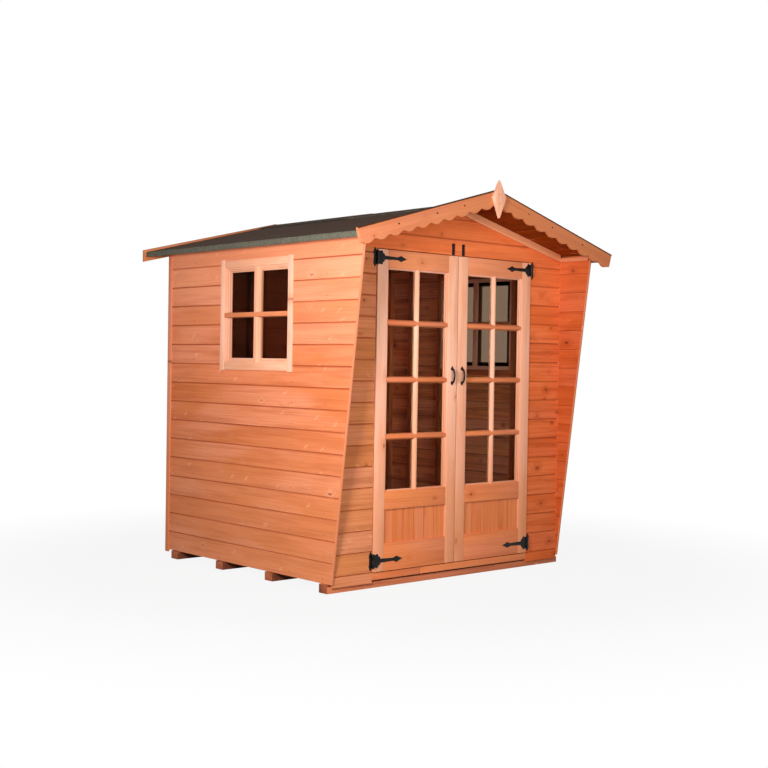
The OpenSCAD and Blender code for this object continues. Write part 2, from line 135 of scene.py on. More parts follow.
def pine(name, look, along=None):
    # sawn or planed pine under a tinted stain: soft growth rings, long streaks, knots, stain gathered in the joints
    # with painted shade in the hollows and grooves, painted shade towards the foot and a painted highlight towards the
    # top
    material, add = newMaterial(name)
    place = add("ShaderNodeTexCoord")["Object"]
    if along:
        grain = add("ShaderNodeMapping", {"Vector": place, "Location": (0.37, 0.031, 0.043),
                                          "Rotation": grainTurn[along]})[0]
        broad = stretchedNoise(add, grain, (0.5, 2.1, 2.1), 0)
        tone = add("ShaderNodeMapRange", (broad, 0.35, 0.65), **eased)[0]
    else:
        grain = add("ShaderNodeAttribute", attribute_name="grain")["Vector"]
        tone = add("ShaderNodeAttribute", attribute_name="tone")["Fac"]
    grainNoise = partial(stretchedNoise, add, grain)

    # knots run right through a board: one in a few cells, 200 by 125 mm, holds a knot 10 to 25 mm long
    wobble = grainNoise((30, 50, 50), 3)
    wobble = add("ShaderNodeCombineXYZ", (wobble, wobble))[0]
    ragged = add("ShaderNodeVectorMath", (wobble, knotValues["ragged"], grain), operation="MULTIPLY_ADD")[0]
    spot = add("ShaderNodeMapping", {"Vector": ragged, "Scale": knotValues["cells"]})[0]
    cells = add("ShaderNodeTexVoronoi", {"Vector": spot, "Scale": 1.0}, voronoi_dimensions="2D")
    dice = add("ShaderNodeSeparateColor", [cells["Color"]])
    chosen = add("ShaderNodeMath", (dice[0], 1 - look["knotShare"]), operation="GREATER_THAN")[0]
    size = add("ShaderNodeMath", (dice[1], 1.5, 0.55), operation="MULTIPLY_ADD")[0]
    distance = add("ShaderNodeMath", (cells["Distance"], size), operation="MULTIPLY")[0]
    rounds = []
    for reach, faint in (("core", "faintCore"), ("halo", "faintHalo")):
        spread = add("ShaderNodeMapRange", (distance, *knotValues[reach], 1, 0), **eased)[0]
        spread = add("ShaderNodeMath", (spread, chosen), operation="MULTIPLY")[0]
        depth = add("ShaderNodeMapRange", (dice[2], look["swirls"], 1, knotValues[faint], 1), **eased)[0]
        rounds.append(add("ShaderNodeMath", (spread, depth), operation="MULTIPLY")[0])
    knot, halo = rounds

    # spike knots, cut lengthways: short pale strokes that lean across the grain
    spot = add("ShaderNodeMapping", {"Vector": ragged, "Rotation": (0, 0, knotValues["spikeLean"])})[0]
    spot = add("ShaderNodeMapping", {"Vector": spot, "Scale": knotValues["spikeCells"]})[0]
    strokes = add("ShaderNodeTexVoronoi", {"Vector": spot, "Scale": 1.0}, voronoi_dimensions="2D")
    pick = add("ShaderNodeSeparateColor", [strokes["Color"]])[0]
    pick = add("ShaderNodeMath", (pick, knotValues["spikeFrom"]), operation="GREATER_THAN")[0]
    spike = add("ShaderNodeMapRange", (strokes["Distance"], *knotValues["spikeReach"], look["spikes"], 0), **eased)[0]
    spike = add("ShaderNodeMath", (spike, pick), operation="MULTIPLY")[0]

    # growth rings round a pith that wanders along the board, pushed aside by the knots
    across = add("ShaderNodeVectorMath", (grain, (0, 1, 1)), operation="MULTIPLY")[0]
    ring = add("ShaderNodeVectorMath", [across], operation="LENGTH")["Value"]
    for bend, amount in ((grainNoise((1.1, 7, 7), 2), look["wander"] * mm), (halo, knotValues["push"])):
        ring = add("ShaderNodeMath", (bend, amount, ring), operation="MULTIPLY_ADD")[0]
    for operation, value in (("PINGPONG", look["ring"] * mm), ("DIVIDE", look["ring"] * mm), ("POWER", 2.2)):
        ring = add("ShaderNodeMath", (ring, value), operation=operation)[0]

    fibre, streak = grainNoise((2.2, 120, 120), 2), grainNoise((1.6, 26, 26), 4)
    patch, blush = grainNoise((3.0, 9, 9), 4), grainNoise((1.1, 4, 4), 1, (7, 3, 1))
    stainAndShade = add("ShaderNodeAttribute", attribute_name="stainAndShade")["Fac"]
    lift = add("ShaderNodeSeparateXYZ", [place])[2]
    inHalo = add("ShaderNodeMath", (halo, 0.25, look["rings"]), operation="MULTIPLY_ADD")[0]
    pale, deep, warm, pink = look["tints"].split()
    colour = add("ShaderNodeMix", {0: tone, 6: pale, 7: deep}, **rgba)[2]
    layers = [  # what shows, the range it is eased over with the share at each end, a factor, and its colour
        (patch, (0.4, 0.66, 0, look["patches"]), None, warm),
        (blush, (0.5, 0.7, 0, look["patches"]), None, pink),
        (halo, None, 0.45, look["halo"]),
        (spike, None, None, look["spikeAndLitTopPink"]),
        (streak, (0.46, 0.66, 0, look["streaks"]), None, look["dark"]),
        (ring, None, inHalo, look["dark"]),
        (fibre, (0.42, 0.7, 0, look["fibres"]), None, look["dark"]),
        (knot, None, 0.85, look["knot"]),
        (lift, (0, 1.5, look["footShade"], 0), None, look["foot"]),  # painted shade: darker towards the foot, as less light falls there
        (lift, (1.1, 1.9, 0, look["litTopShare"]), None, look["spikeAndLitTopPink"]),  # painted highlight: the top is made paler and pinker, as if more light fell there
        # stain in the joints, together with painted shade in the hollows and grooves
        (blush, (0.35, 0.62, look["stainAndShadeShare"] * 0.55, look["stainAndShadeShare"]), stainAndShade, look["joint"]),
    ]
    for share, span, factor, tint in layers:
        if span:
            share = add("ShaderNodeMapRange", (share, *span), **eased)[0]
        if factor is not None:
            share = add("ShaderNodeMath", (share, factor), operation="MULTIPLY")[0]
        colour = add("ShaderNodeMix", {0: share, 6: colour, 7: tint}, **rgba)[2]

    rough = add("ShaderNodeMapRange", (fibre, 0.2, 0.8, look["rough"] - 0.06, look["rough"] + 0.08), **eased)[0]
    height = add("ShaderNodeMath", (fibre, 0.6), operation="MULTIPLY")[0]
    for bulge in (ring, knot):
        height = add("ShaderNodeMath", (bulge, 0.5, height), operation="MULTIPLY_ADD")[0]
    bump = add("ShaderNodeBump", {"Height": height, "Distance": 0.0004, "Strength": 0.18})[0]
    return finishMaterial(material, add, {"Base Color": colour, "Roughness": rough, "Normal": bump, "IOR": 1.45,
                                          "Specular IOR Level": look["gloss"]})


# tints: a pale board, a deep one, warm patches and pink ones; ring and wander are in millimetres
claddingLook = {
    "tints": "#e0845a #d07142 #cf703c #e48d6a", "dark": "#b0532a", "knot": "#6a2c18", "halo": "#f0a27f",
    "joint": "#9a3d17", "foot": "#b27c54", "spikeAndLitTopPink": "#ffb08a", "stainAndShadeShare": 0.9, "ring": 5.5, "wander": 34,
    "rings": 0.2, "streaks": 0.42, "patches": 0.7, "knotShare": 0.22, "swirls": 0.62, "rough": 0.6, "gloss": 0.15,
    "footShade": 0.3, "litTopShare": 0.35, "fibres": 0.22, "spikes": 0.4,
}
joineryLook = dict(claddingLook, tints="#f0b799 #e6a684 #e6a27c #f2b8a0", dark="#bd6f48", knot="#7e3c20",
                   halo="#cf8158", joint="#8a4628", rings=0.1, streaks=0.26, swirls=0.25, rough=0.55, footShade=0.62,
                   foot="#cc7644", litTopShare=0, spikeAndLitTopPink="#f8cdb2", fibres=0.12, spikes=0.25)
railLook = dict(claddingLook, tints="#db8456 #cc6f42 #d48048 #da8866", dark="#a64c26", knot="#5e2814",
                halo="#b45c32", rings=0.14, streaks=0.3, knotShare=0.24, swirls=0.2, rough=0.55, footShade=0.25,
                foot="#c8642c", litTopShare=0.25, spikeAndLitTopPink="#e89870", spikes=0.25)
insideLook = dict(claddingLook, tints="#d07a48 #b86236 #c06a38 #c47a52", dark="#7a3418", knot="#4a1c0c",
                  halo="#9a4e2a", joint="#3a1408", rough=0.75, foot="#7a3418", litTopShare=0)
frontLook = dict(claddingLook, tints="#e87a46 #da6632 #cf5e26 #e6764c", dark="#9e3c14", knot="#4c1808",
                 halo="#a8421c", joint="#742c10", stainAndShadeShare=0.55, knotShare=0.5, swirls=0.05, foot="#a04618", litTopShare=0.25,
                 spikeAndLitTopPink="#ff8a4c", spikes=0.2)
stripLook = dict(claddingLook, tints="#d78457 #c67241 #c6763f #d48460", dark="#944a22", halo="#b8683a",
                 knotShare=0.36, swirls=0.1, footShade=0.15, litTopShare=0, spikes=0.2)
roofLook = dict(claddingLook, tints="#9c420e #84340a #8e4012 #903c16", dark="#5c1e06", knot="#4e1a08",
                halo="#7a3010", joint="#260b03", stainAndShadeShare=0.95, rough=0.85, gloss=0.03, footShade=0, litTopShare=0)
baseLook = dict(claddingLook, tints="#c8744e #b4633e #be7048 #b8705a", dark="#8a3e2a", knot="#4e2418",
                halo="#8e4e38", joint="#40190e", stainAndShadeShare=1.0, rough=0.7, footShade=0, litTopShare=0)

claddingPine = pine("stainedShiplapPine", claddingLook)
# the front boards' deeper, more saturated tints are partly stain and partly painted shade and orange bounce light of
# the porch
frontPine = pine("deepStainAndPorchShadePine", frontLook)
# a paler copy for the boards left of the doors: painted light
stripPine = pine("paleLitShiplapPine", stripLook)
joineryPine = pine("planedJoineryPine", joineryLook)
railPine = pine("planedRailPine", railLook)
edgePine = pine("planedEdgePine", dict(joineryLook, tints="#d8886a #cc7a58 #d07e58 #da8c70"))
# a brighter copy for the gable trim: painted light where the soffit shades it
gablePine = pine("planedGableTrimPine", dict(railLook, tints="#ffac7a #ee9a66 #f4a068 #fbac84", halo="#d98a5c"))
# a darker copy for the boards' backs in the porch: painted shade
wingPine = pine("porchShadedShiplapPine", dict(frontLook, tints="#ce6436 #be5828 #b8511f #cc6640", litTopShare=0.1))
# a brighter copy for the inner faces: painted light for the dim room
roomPine = pine("boardBackPine", dict(insideLook, tints="#fba878 #ee9462 #f09a60 #f6a884", footShade=0))
bargePine = pine("sawnBargePine", dict(railLook, tints="#c67549 #ba693a #be713e #c67858", knotShare=0.3, litTopShare=0.15))
roofPine = pine("sawnRoofPine", roofLook)
floorPine = pine("planedFloorPine", insideLook)
framingX, framingY, framingZ = [pine("sawnFramingPine" + axis, insideLook, axis) for axis in "XYZ"]
bearerPine = pine("treatedBearerPine", baseLook)
trimY = pine("stainedTrimPineY", railLook, "Y")
trimZ = pine("stainedTrimPineZ", joineryLook, "Z")


def mineralFelt(name, colours):
    # bitumen roofing felt with green-grey mineral grit; grit drawn at 4 mm, coarser than the real 1 mm
    base, fleck, broadTone, litSideBase, litSideFleck = colours.split()
    material, add = newMaterial(name)
    place = add("ShaderNodeTexCoord")["Object"]
    grit = add("ShaderNodeTexVoronoi", {"Vector": place, "Scale": 260.0})["Color"]
    speck = add("ShaderNodeSeparateColor", [grit])[0]
    broad = stretchedNoise(add, place, (3, 1.2, 3), 3)
    share = add("ShaderNodeMapRange", (broad, 0.4, 0.65, 0, 0.5), **eased)[0]
    colour = add("ShaderNodeMix", {0: speck, 6: base, 7: fleck}, **rgba)[2]
    colour = add("ShaderNodeMix", {0: share, 6: colour, 7: broadTone}, **rgba)[2]
    # painted light: the turned-down edges, facing sideways, are made paler than the slopes, as if they caught more
    # light
    lift = add("ShaderNodeSeparateXYZ", [add("ShaderNodeNewGeometry")["Normal"]])[2]
    lift = add("ShaderNodeMath", [lift], operation="ABSOLUTE")[0]
    edge = add("ShaderNodeMapRange", (lift, 0.3, 0.9, 0.75, 0), **eased)[0]
    litSide = add("ShaderNodeMix", {0: speck, 6: litSideBase, 7: litSideFleck}, **rgba)[2]
    colour = add("ShaderNodeMix", {0: edge, 6: colour, 7: litSide}, **rgba)[2]
    bump = add("ShaderNodeBump", {"Height": speck, "Distance": 0.0012, "Strength": 0.6})[0]
    rough = add("ShaderNodeMapRange", (broad, 0.2, 0.8, 0.82, 0.95), **eased)[0]
    return finishMaterial(material, add, {"Base Color": colour, "Roughness": rough, "Normal": bump,
                                          "Specular IOR Level": 0.08})


def blackIron():
    # black japanned iron: a thin gloss coat over a lightly hammered skin
    material, add = newMaterial("blackJapannedIron")
    place = add("ShaderNodeTexCoord")["Object"]
    dents = add("ShaderNodeTexNoise", {"Vector": place, "Scale": 240.0, "Detail": 2.0})[0]
    worn = add("ShaderNodeMapRange", (stretchedNoise(add, place, (60, 60, 60), 3), 0.55, 0.75), **eased)[0]
    colour = add("ShaderNodeMix", {0: worn, 6: "#0d0c0b", 7: "#1a1715"}, **rgba)[2]
    rough = add("ShaderNodeMapRange", (worn, 0, 1, 0.34, 0.5), **eased)[0]
    bump = add("ShaderNodeBump", {"Height": dents, "Distance": 0.0005, "Strength": 0.35})[0]
    return finishMaterial(material, add, {"Base Color": colour, "Roughness": rough, "Normal": bump,
                                          "Specular IOR Level": 0.16})


def nailSteel():
    # round wire nails gone dull brown
    material, add = newMaterial("dullWireNail")
    spots = stretchedNoise(add, add("ShaderNodeTexCoord")["Object"], (400, 400, 400), 2)
    colour = add("ShaderNodeMix", {0: spots, 6: "#4a2414", 7: "#7a4a34"}, **rgba)[2]
    return finishMaterial(material, add, {"Base Color": colour, "Metallic": 0.3, "Roughness": 0.6})


def windowGlass(name, tint):
    # styrene glazing sheet: thin and nearly flat, with a faint ripple, clear in the doors and tinted dark in the
    # windows as painted shade for the dim room behind
    material, add = newMaterial(name)
    ripple = stretchedNoise(add, add("ShaderNodeTexCoord")["Object"], (3, 3, 3), 1)
    bump = add("ShaderNodeBump", {"Height": ripple, "Distance": 0.002, "Strength": 0.08})[0]
    return finishMaterial(material, add, {"Base Color": tint, "Roughness": 0.03, "Normal": bump, "IOR": 1.04,
                                          "Transmission Weight": 1.0})


# the last two colours of each felt are its painted light on the sideways faces
feltGrit = mineralFelt("mineralRoofingFelt", "#2f2014 #503626 #503626 #4e4d42 #787b6c")
feltEdge = mineralFelt("brownRoofingFelt", "#3a2014 #5a3422 #4a2a1a #4a2816 #6c4028")
iron, nailMetal = blackIron(), nailSteel()
# the window glazing's dark tint is painted shade for the room behind it
glazing, shadeTintedGlazing = windowGlass("clearGlazing", "#f7faf8"), windowGlass("shadeTintedGlazing", "#806856")
print("materials made")


def newBoards():
    # boards, each with its own grain and tone, and the stain and painted shade at its joints
    bm = bmesh.new()
    bm.verts.layers.float_vector.new("grain")
    bm.verts.layers.float.new("tone")
    bm.verts.layers.float.new("stainAndShade")
    return bm


def addShell(bm, rings):
    # a closed skin over matching rings of places, capped at both ends
    made = [[bm.verts.new(place) for place in ring] for ring in rings]
    faces = [bm.faces.new(made[0]), bm.faces.new(made[-1][::-1])]
    for a, b in zip(made, made[1:]):
        for i in range(len(a)):
            j = (i + 1) % len(a)
            faces.append(bm.faces.new([a[j], a[i], b[i], b[j]]))
    bmesh.ops.recalc_face_normals(bm, faces=faces)
    return made, faces


def joined(verts):
    # every vertex that these are linked to
    found, stack = set(verts), list(verts)
    while stack:
        for edge in stack.pop().link_edges:
            for vert in edge.verts:
                if vert not in found:
                    found.add(vert)
                    stack.append(vert)
    return found


def addSolid(bm, rings, rng, axes, origin=None, rounding=0.0, tone=None):
    # a closed board from two matching outlines, with its edges eased; axes: along the grain, across, through
    made, faces = addShell(bm, rings)
    verts = made[0] + made[1]
    if rounding:
        edges = list({edge for face in faces for edge in face.edges})
        bevel = bmesh.ops.bevel(bm, geom=edges, offset=rounding, segments=2, profile=0.6, affect="EDGES",
                                clamp_overlap=True)
        verts = joined({vert for face in bevel["faces"] for vert in face.verts})
    grain, toneLayer = bm.verts.layers.float_vector["grain"], bm.verts.layers.float["tone"]
    shift = Vector((rng.uniform(0, 40), rng.uniform(-0.05, 0.05), rng.uniform(0.02, 0.09)))
    tone = rng.random() if tone is None else tone
    origin = origin or Vector(rings[0][0])
    for vert in verts:
        vert[grain] = Vector([(vert.co - origin).dot(axis) for axis in axes]) + shift
        vert[toneLayer] = tone


unitAxes = {"X": Vector((1, 0, 0)), "Y": Vector((0, 1, 0)), "Z": Vector((0, 0, 1))}
grainAxes = {run: [unitAxes[axis] for axis in order] for run, order in (("X", "XZY"), ("Y", "YZX"), ("Z", "ZXY"))}


def plank(bm, low, high, along, rng, rounding=1.5, tone=None):
    # a straight board between two corners, in millimetres
    (x0, y0, z0), (x1, y1, z1) = [[v * mm for v in corner] for corner in (low, high)]
    rings = [[(x0, y0, z), (x1, y0, z), (x1, y1, z), (x0, y1, z)] for z in (z0, z1)]
    addSolid(bm, rings, rng, grainAxes[along], Vector((x0, y0, z0)), rounding * mm, tone)


def flatBoard(bm, outline, near, far, run, rng, plane="XZ", rounding=1.5):
    # a board drawn in X and Z (or Y and Z), in millimetres, with its thickness from near to far
    def spot(u, depth, z):
        return metres(u, depth, z) if plane == "XZ" else metres(depth, u, z)
    rings = [[spot(u, depth, z) for u, z in outline] for depth in (near, far)]
    axes = [spot(run[0], 0, run[1]), spot(-run[1], 0, run[0]), spot(0, 1, 0)]
    addSolid(bm, rings, rng, [axis.normalized() for axis in axes], rings[0][0], rounding * mm)


def newTree(name, **inputs):
    tree = bpy.data.node_groups.new(name, "GeometryNodeTree")
    for title, kind in {"Geometry": "Geometry", **inputs}.items():
        tree.interface.new_socket(name=title, in_out="INPUT", socket_type="NodeSocket" + kind)
    tree.interface.new_socket(name="Geometry", in_out="OUTPUT", socket_type="NodeSocketGeometry")
    add = partial(addNode, tree)
    return tree, add, add("NodeGroupInput")


def endTree(add, geometry, material):
    real = add("GeometryNodeRealizeInstances", {"Geometry": geometry})[0]
    add("NodeGroupOutput", [add("GeometryNodeSetMaterial", {"Geometry": real, "Material": material})[0]])


def runTree(name, tree, values, mesh=None):
    # runs a tree on a temporary object and gives back a plain mesh
    obj = addObject(name + "Maker", mesh or bpy.data.meshes.new(name))
    modifier = obj.modifiers.new(name, "NODES")
    modifier.node_group = tree
    for item in tree.interface.items_tree:
        if item.in_out == "INPUT" and item.name in values:
            modifier[item.identifier] = values[item.name]
    graph = bpy.context.evaluated_depsgraph_get()
    made = bpy.data.meshes.new_from_object(obj.evaluated_get(graph), preserve_all_data_layers=True, depsgraph=graph)
    obj.modifiers.remove(modifier)
    bpy.data.objects.remove(obj)
    return made


def boardRowTree():
    # one board repeated at even steps, each with its own grain and tone
    tree, add, given = newTree("boardRow", Board="Object", Count="Int", Step="Vector", Seed="Int",
                               Material="Material")
    line = add("GeometryNodeMeshLine", {"Count": given["Count"], "Offset": given["Step"]}, mode="OFFSET")[0]
    board = add("GeometryNodeObjectInfo", {"Object": given["Board"]}, transform_space="ORIGINAL")["Geometry"]
    rows = add("GeometryNodeInstanceOnPoints", {"Points": line, "Instance": board})[0]
    tone = add("FunctionNodeRandomValue", {"Seed": given["Seed"]}, data_type="FLOAT")[1]
    shift = add("FunctionNodeRandomValue", {0: (0.0, -0.05, 0.02), 1: (40.0, 0.05, 0.09), "Seed": given["Seed"]},
                data_type="FLOAT_VECTOR")[0]
    for title, kind, value in (("tone", "FLOAT", tone), ("shift", "FLOAT_VECTOR", shift)):
        rows = add("GeometryNodeStoreNamedAttribute", {"Geometry": rows, "Name": title, "Value": value},
                   data_type=kind, domain="INSTANCE")[0]
    real = add("GeometryNodeRealizeInstances", {"Geometry": rows})[0]
    moved = [add("GeometryNodeInputNamedAttribute", {"Name": title}, data_type="FLOAT_VECTOR")[0]
             for title in ("grain", "shift")]
    total = add("ShaderNodeVectorMath", moved, operation="ADD")[0]
    stored = add("GeometryNodeStoreNamedAttribute", {"Geometry": real, "Name": "grain", "Value": total},
                 data_type="FLOAT_VECTOR", domain="POINT")[0]
    clean = add("GeometryNodeRemoveAttribute", {"Geometry": stored, "Name": "shift"})[0]
    endTree(add, clean, given["Material"])
    return tree


def nailTree():
    # a small domed head on every point, facing the way the point says
    tree, add, given = newTree("nailHeads", Radius="Float", Height="Float", Material="Material")
    head = add("GeometryNodeMeshCylinder", {"Vertices": 10, "Radius": given["Radius"], "Depth": given["Height"]},
               fill_type="NGON")[0]
    spot = add("GeometryNodeInputPosition")[0]
    lift = add("ShaderNodeSeparateXYZ", [spot])[2]
    upper = add("FunctionNodeCompare", (lift, 0.0), operation="GREATER_THAN")[0]
    narrow = add("ShaderNodeVectorMath", (spot, (0.7, 0.7, 1)), operation="MULTIPLY")[0]
    domed = add("GeometryNodeSetPosition", {"Geometry": head, "Selection": upper, "Position": narrow})[0]
    facing = add("GeometryNodeInputNamedAttribute", {"Name": "facing"}, data_type="FLOAT_VECTOR")[0]
    turn = add("FunctionNodeAlignRotationToVector", {"Vector": facing}, axis="Z")[0]
    heads = add("GeometryNodeInstanceOnPoints", {"Points": given["Geometry"], "Instance": domed, "Rotation": turn})[0]
    endTree(add, heads, given["Material"])
    return tree


boardRow, nailHeads = boardRowTree(), nailTree()


def nailsAt(name, spots, slot, radius=3.0, height=1.2, material=nailMetal, body="house"):
    # spots: (place, facing) pairs, places in millimetres
    mesh = bpy.data.meshes.new(name)
    mesh.from_pydata([metres(*place) for place, facing in spots], [], [])
    layer = mesh.attributes.new("facing", "FLOAT_VECTOR", "POINT")
    for i, (place, facing) in enumerate(spots):
        layer.data[i].vector = facing
    made = runTree(name, nailHeads, {"Radius": radius * mm, "Height": height * mm, "Material": material}, mesh)
    dress(name, made, material, slot, body=body, smooth=0)


def trimmed(mesh, zones):
    # keeps what lies inside each zone, a list of (place, outward direction) in millimetres, and closes the cuts
    whole = bmesh.new()
    for zone in zones:
        bm = bmesh.new()
        bm.from_mesh(mesh)
        for place, outward in zone:
            bmesh.ops.bisect_plane(bm, geom=bm.verts[:] + bm.edges[:] + bm.faces[:], dist=1e-7,
                                   plane_co=metres(*place), plane_no=Vector(outward), clear_outer=True)
            bmesh.ops.holes_fill(bm, edges=[edge for edge in bm.edges if edge.is_boundary], sides=0)
        bmesh.ops.recalc_face_normals(bm, faces=bm.faces)
        part = meshFrom(bm, "zone")
        whole.from_mesh(part)
        bpy.data.meshes.remove(part)
    return meshFrom(whole, mesh.name)


def boardField(name, section, span, place, count, step, seed, material, zones=None):
    # equal boards side by side, put in place by place(along, depth, height), in millimetres, and cut to the zones
    # a corner of the section: depth, height and, in a joint, how much stain and painted shade it holds
    bm = bmesh.new()
    grain, stainAndShade = bm.verts.layers.float_vector.new("grain"), bm.verts.layers.float.new("stainAndShade")
    made, faces = addShell(bm, [[metres(*place(along, *corner[:2])) for corner in section] for along in span])
    for along, ring in zip(span, made):
        for vert, (depth, height, *stain) in zip(ring, section):
            vert[stainAndShade] = stain[0] if stain else 0.0
            vert[grain] = metres(along, height, depth)
    sample = addObject(name + "Sample", meshFrom(bm, name))
    made = runTree(name, boardRow, {"Board": sample, "Count": count, "Step": metres(*step), "Seed": seed,
                                    "Material": material})
    bpy.data.objects.remove(sample)
    return trimmed(made, zones) if zones else made


def corners(node):
    # lowest and highest corner of a part, in millimetres
    return [[v / mm for v in corner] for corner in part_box(node)]


wallLow, wallHigh = corners("right_wall")
innerWidth, wingTop, wallFoot = wallLow
halfWidth, wallTop = wallHigh[0], wallHigh[2]
frontWallLow, frontWallHigh = corners("front_wall_left")
frontFace, frontFoot = frontWallLow[1:]
doorway = [frontWallHigh[0], frontWallHigh[2]]  # edge X of the doorway (negative) and its head
rearFace, soffitTop = corners("rear_wall")[1][1:]
slope = (soffitTop - wallTop) / halfWidth
pitchAngle = math.atan(slope)
lean = 1 / math.cos(pitchAngle)
roofLow, roofHigh = corners("roof_boards")
roofFront, roofRear, eaveX = roofLow[1], roofHigh[1], roofHigh[0]
mitre = 0.5  # the slopes stop this far from the middle
down = (math.cos(pitchAngle), math.sin(pitchAngle))


def soffit(x):
    return soffitTop - abs(x) * slope


shiplap = {
    "rows": 16, "rearRows": 19, "frontRows": 20, "thick": 12.0, "lip": 6.5, "lap": 6.0, "cove": 7.5, "coveDepth": 6.0,
    "coveSteps": 6, "backVee": 3.0, "backGap": 1.6, "slack": 0.7, "nailUp": 26, "spare": 20,
}
cover = (wallTop - wallFoot) / shiplap["rows"]
boardThick = shiplap["thick"]


def shiplapSection():
    lip, lap, cove, steps, gap = [shiplap[key] for key in ("lip", "lap", "cove", "coveSteps", "backGap")]
    rebate, tongue, head = boardThick - lip, boardThick - lip - shiplap["slack"], cover + lap - 0.8
    # the third numbers paint stain and painted shade: the shadow line under the next board's lip, and the hollow
    # darkening towards it
    section = [(gap, lap, 1), (rebate, lap, 1), (rebate, 0.3, 1), (boardThick - 0.7, 0.3, 1), (boardThick, 1.2, 0.5),
               (boardThick, 3.0), (boardThick, cover - cove)]
    for i in range(1, steps + 1):  # the hollow under the next board's lip
        turn = math.pi / 2 * i / steps
        section.append((boardThick - shiplap["coveDepth"] * math.sin(turn), cover - cove * math.cos(turn),
                        (i / steps) ** 1.3))
    return section + [(tongue, cover, 1), (tongue, head, 1), (gap, head, 1), (0, cover + lap - shiplap["backVee"]),
                      (0, lap + shiplap["backVee"])]


def cut(axis, at, outward):
    # a cut square to an axis, and the way to the side that goes
    return [at * (i == axis) for i in range(3)], [outward * (i == axis) for i in range(3)]


section = shiplapSection()
windowLow, windowHigh = corners("left_window_frame")
glassLow, glassHigh = corners("window_glass")
holeLow = [(windowLow[i] + glassLow[i]) / 2 for i in (1, 2)]
holeHigh = [(windowHigh[i] + glassHigh[i]) / 2 for i in (1, 2)]

for side, sign in sides:
    outline = [cut(2, wallTop, 1), ((0, frontFace, wallFoot), (0, wallFoot - wallTop, wingTop - frontFace))]
    level = outline + [cut(2, holeLow[1], -1), cut(2, holeHigh[1], 1)]
    zones = [outline + [cut(2, holeLow[1], 1)], outline + [cut(2, holeHigh[1], -1)],
             level + [cut(1, holeLow[0], 1)], level + [cut(1, holeHigh[0], -1)]]
    rows = boardField(side + "Cladding", section, (wingTop - shiplap["spare"], rearFace),
                      lambda u, d, h: (sign * (innerWidth + d), u, wallFoot + h),
                      shiplap["rows"], (0, 0, cover), 3 + sign, claddingPine, zones)
    wall = dress(side + "ShiplapWall", rows, claddingPine, "boards", side + "_wall", smooth=0)
    for material in (wingPine, roomPine):  # the boards' backs: a darker copy in the porch as painted shade, and a bare, warm copy indoors brightened as painted light for the dim room
        wall.data.materials.append(material)
    bm = bmesh.new()
    bm.from_mesh(wall.data)
    bmesh.ops.bisect_plane(bm, geom=bm.verts[:] + bm.edges[:] + bm.faces[:], dist=1e-6,
                           plane_co=(0, frontFace * mm, 0), plane_no=(0, 1, 0))
    for face in bm.faces:
        if face.normal.x * sign < -0.3:
            face.material_index = 1 if face.calc_center_median().y < frontFace * mm else 2
    bm.to_mesh(wall.data)
    bm.free()

gableCut = [((0, 0, soffitTop), (sign * slope, 0, 1)) for sign in (1, -1)]
rows = boardField("rearCladding", section, (-innerWidth, innerWidth),
                  lambda u, d, h: (u, rearFace - boardThick + d, wallFoot + h),
                  shiplap["rearRows"], (0, 0, cover), 11, claddingPine, [gableCut])
dress("rearShiplapWall", rows, claddingPine, "boards", "rear_wall", smooth=0)

frontStart = corners("right_door_frame")[0][2] - cover  # the boards' joints line up with the foot of the doors
strips = [[cut(2, frontFoot, -1), cut(0, sign * doorway[0], sign), cut(2, doorway[1], 1)] for sign in (1, -1)]
rows = boardField("frontCladding", section, (-innerWidth, innerWidth),
                  lambda u, d, h: (u, frontFace + boardThick - d, frontStart + h),
                  shiplap["frontRows"], (0, 0, cover), 21, frontPine, strips + [gableCut + [cut(2, doorway[1], -1)]])
wall = dress("frontShiplapWall", rows, frontPine, "boards", "front_wall_left", "front_wall_right", "front_gable",
             smooth=0)
wall.data.materials.append(stripPine)  # painted light: the boards left of the doors are made paler, as if more light fell there
for face in wall.data.polygons:
    face.material_index = int(face.center.x < doorway[0] * mm and face.center.z < doorway[1] * mm)
print("walls clad")


roofing = {"boards": 9, "veeDepth": 4.5, "veeWidth": 5.0, "gap": 1.0, "lift": 0.1}
roofThick = (roofHigh[2] - soffitTop) / lean
boardWidth = (eaveX - mitre) * lean / roofing["boards"]
near, far = roofing["gap"] / 2, boardWidth - roofing["gap"] / 2
# the vee joints' sides carry stain and painted shade
roofSection = [(roofing["lift"], roofing["veeWidth"]), (roofing["veeDepth"], near, 1), (roofThick, near, 1),
               (roofThick, far, 1), (roofing["veeDepth"], far, 1), (roofing["lift"], boardWidth - roofing["veeWidth"])]
for side, sign in sides:
    rows = boardField(side + "RoofBoards", roofSection, (roofFront, roofRear),
                      lambda u, d, h: (sign * (mitre + h * down[0] + d * down[1]), u,
                                       soffit(mitre) - h * down[1] + d * down[0]),
                      roofing["boards"], (sign * boardWidth * down[0], 0, -boardWidth * down[1]), 31 + sign, roofPine)
    dress(side + "RoofBoarding", rows, roofPine, "boards", "roof_boards", smooth=0)
print("roof boarded")


flooring = {"boards": 19, "gap": 0.8, "vee": 1.5}
floorLow, floorHigh = corners("floor_boards")
width = (floorHigh[0] - floorLow[0]) / flooring["boards"]
thick = floorHigh[2] - floorLow[2]
half, vee = flooring["gap"] / 2, flooring["vee"]
# the vee joints' sides carry stain and painted shade
floorSection = [(0, half, 1), (thick - vee, half, 1), (thick, half + vee), (thick, width - half - vee),
                (thick - vee, width - half, 1), (0, width - half, 1)]
rows = boardField("floorRow", floorSection, (floorLow[1], floorHigh[1]),
                  lambda u, d, h: (floorLow[0] + h, u, floorLow[2] + d),
                  flooring["boards"], (width, 0, 0), 41, floorPine)
dress("floorBoarding", rows, floorPine, "boards", "floor_boards", smooth=0)
print("floor laid")


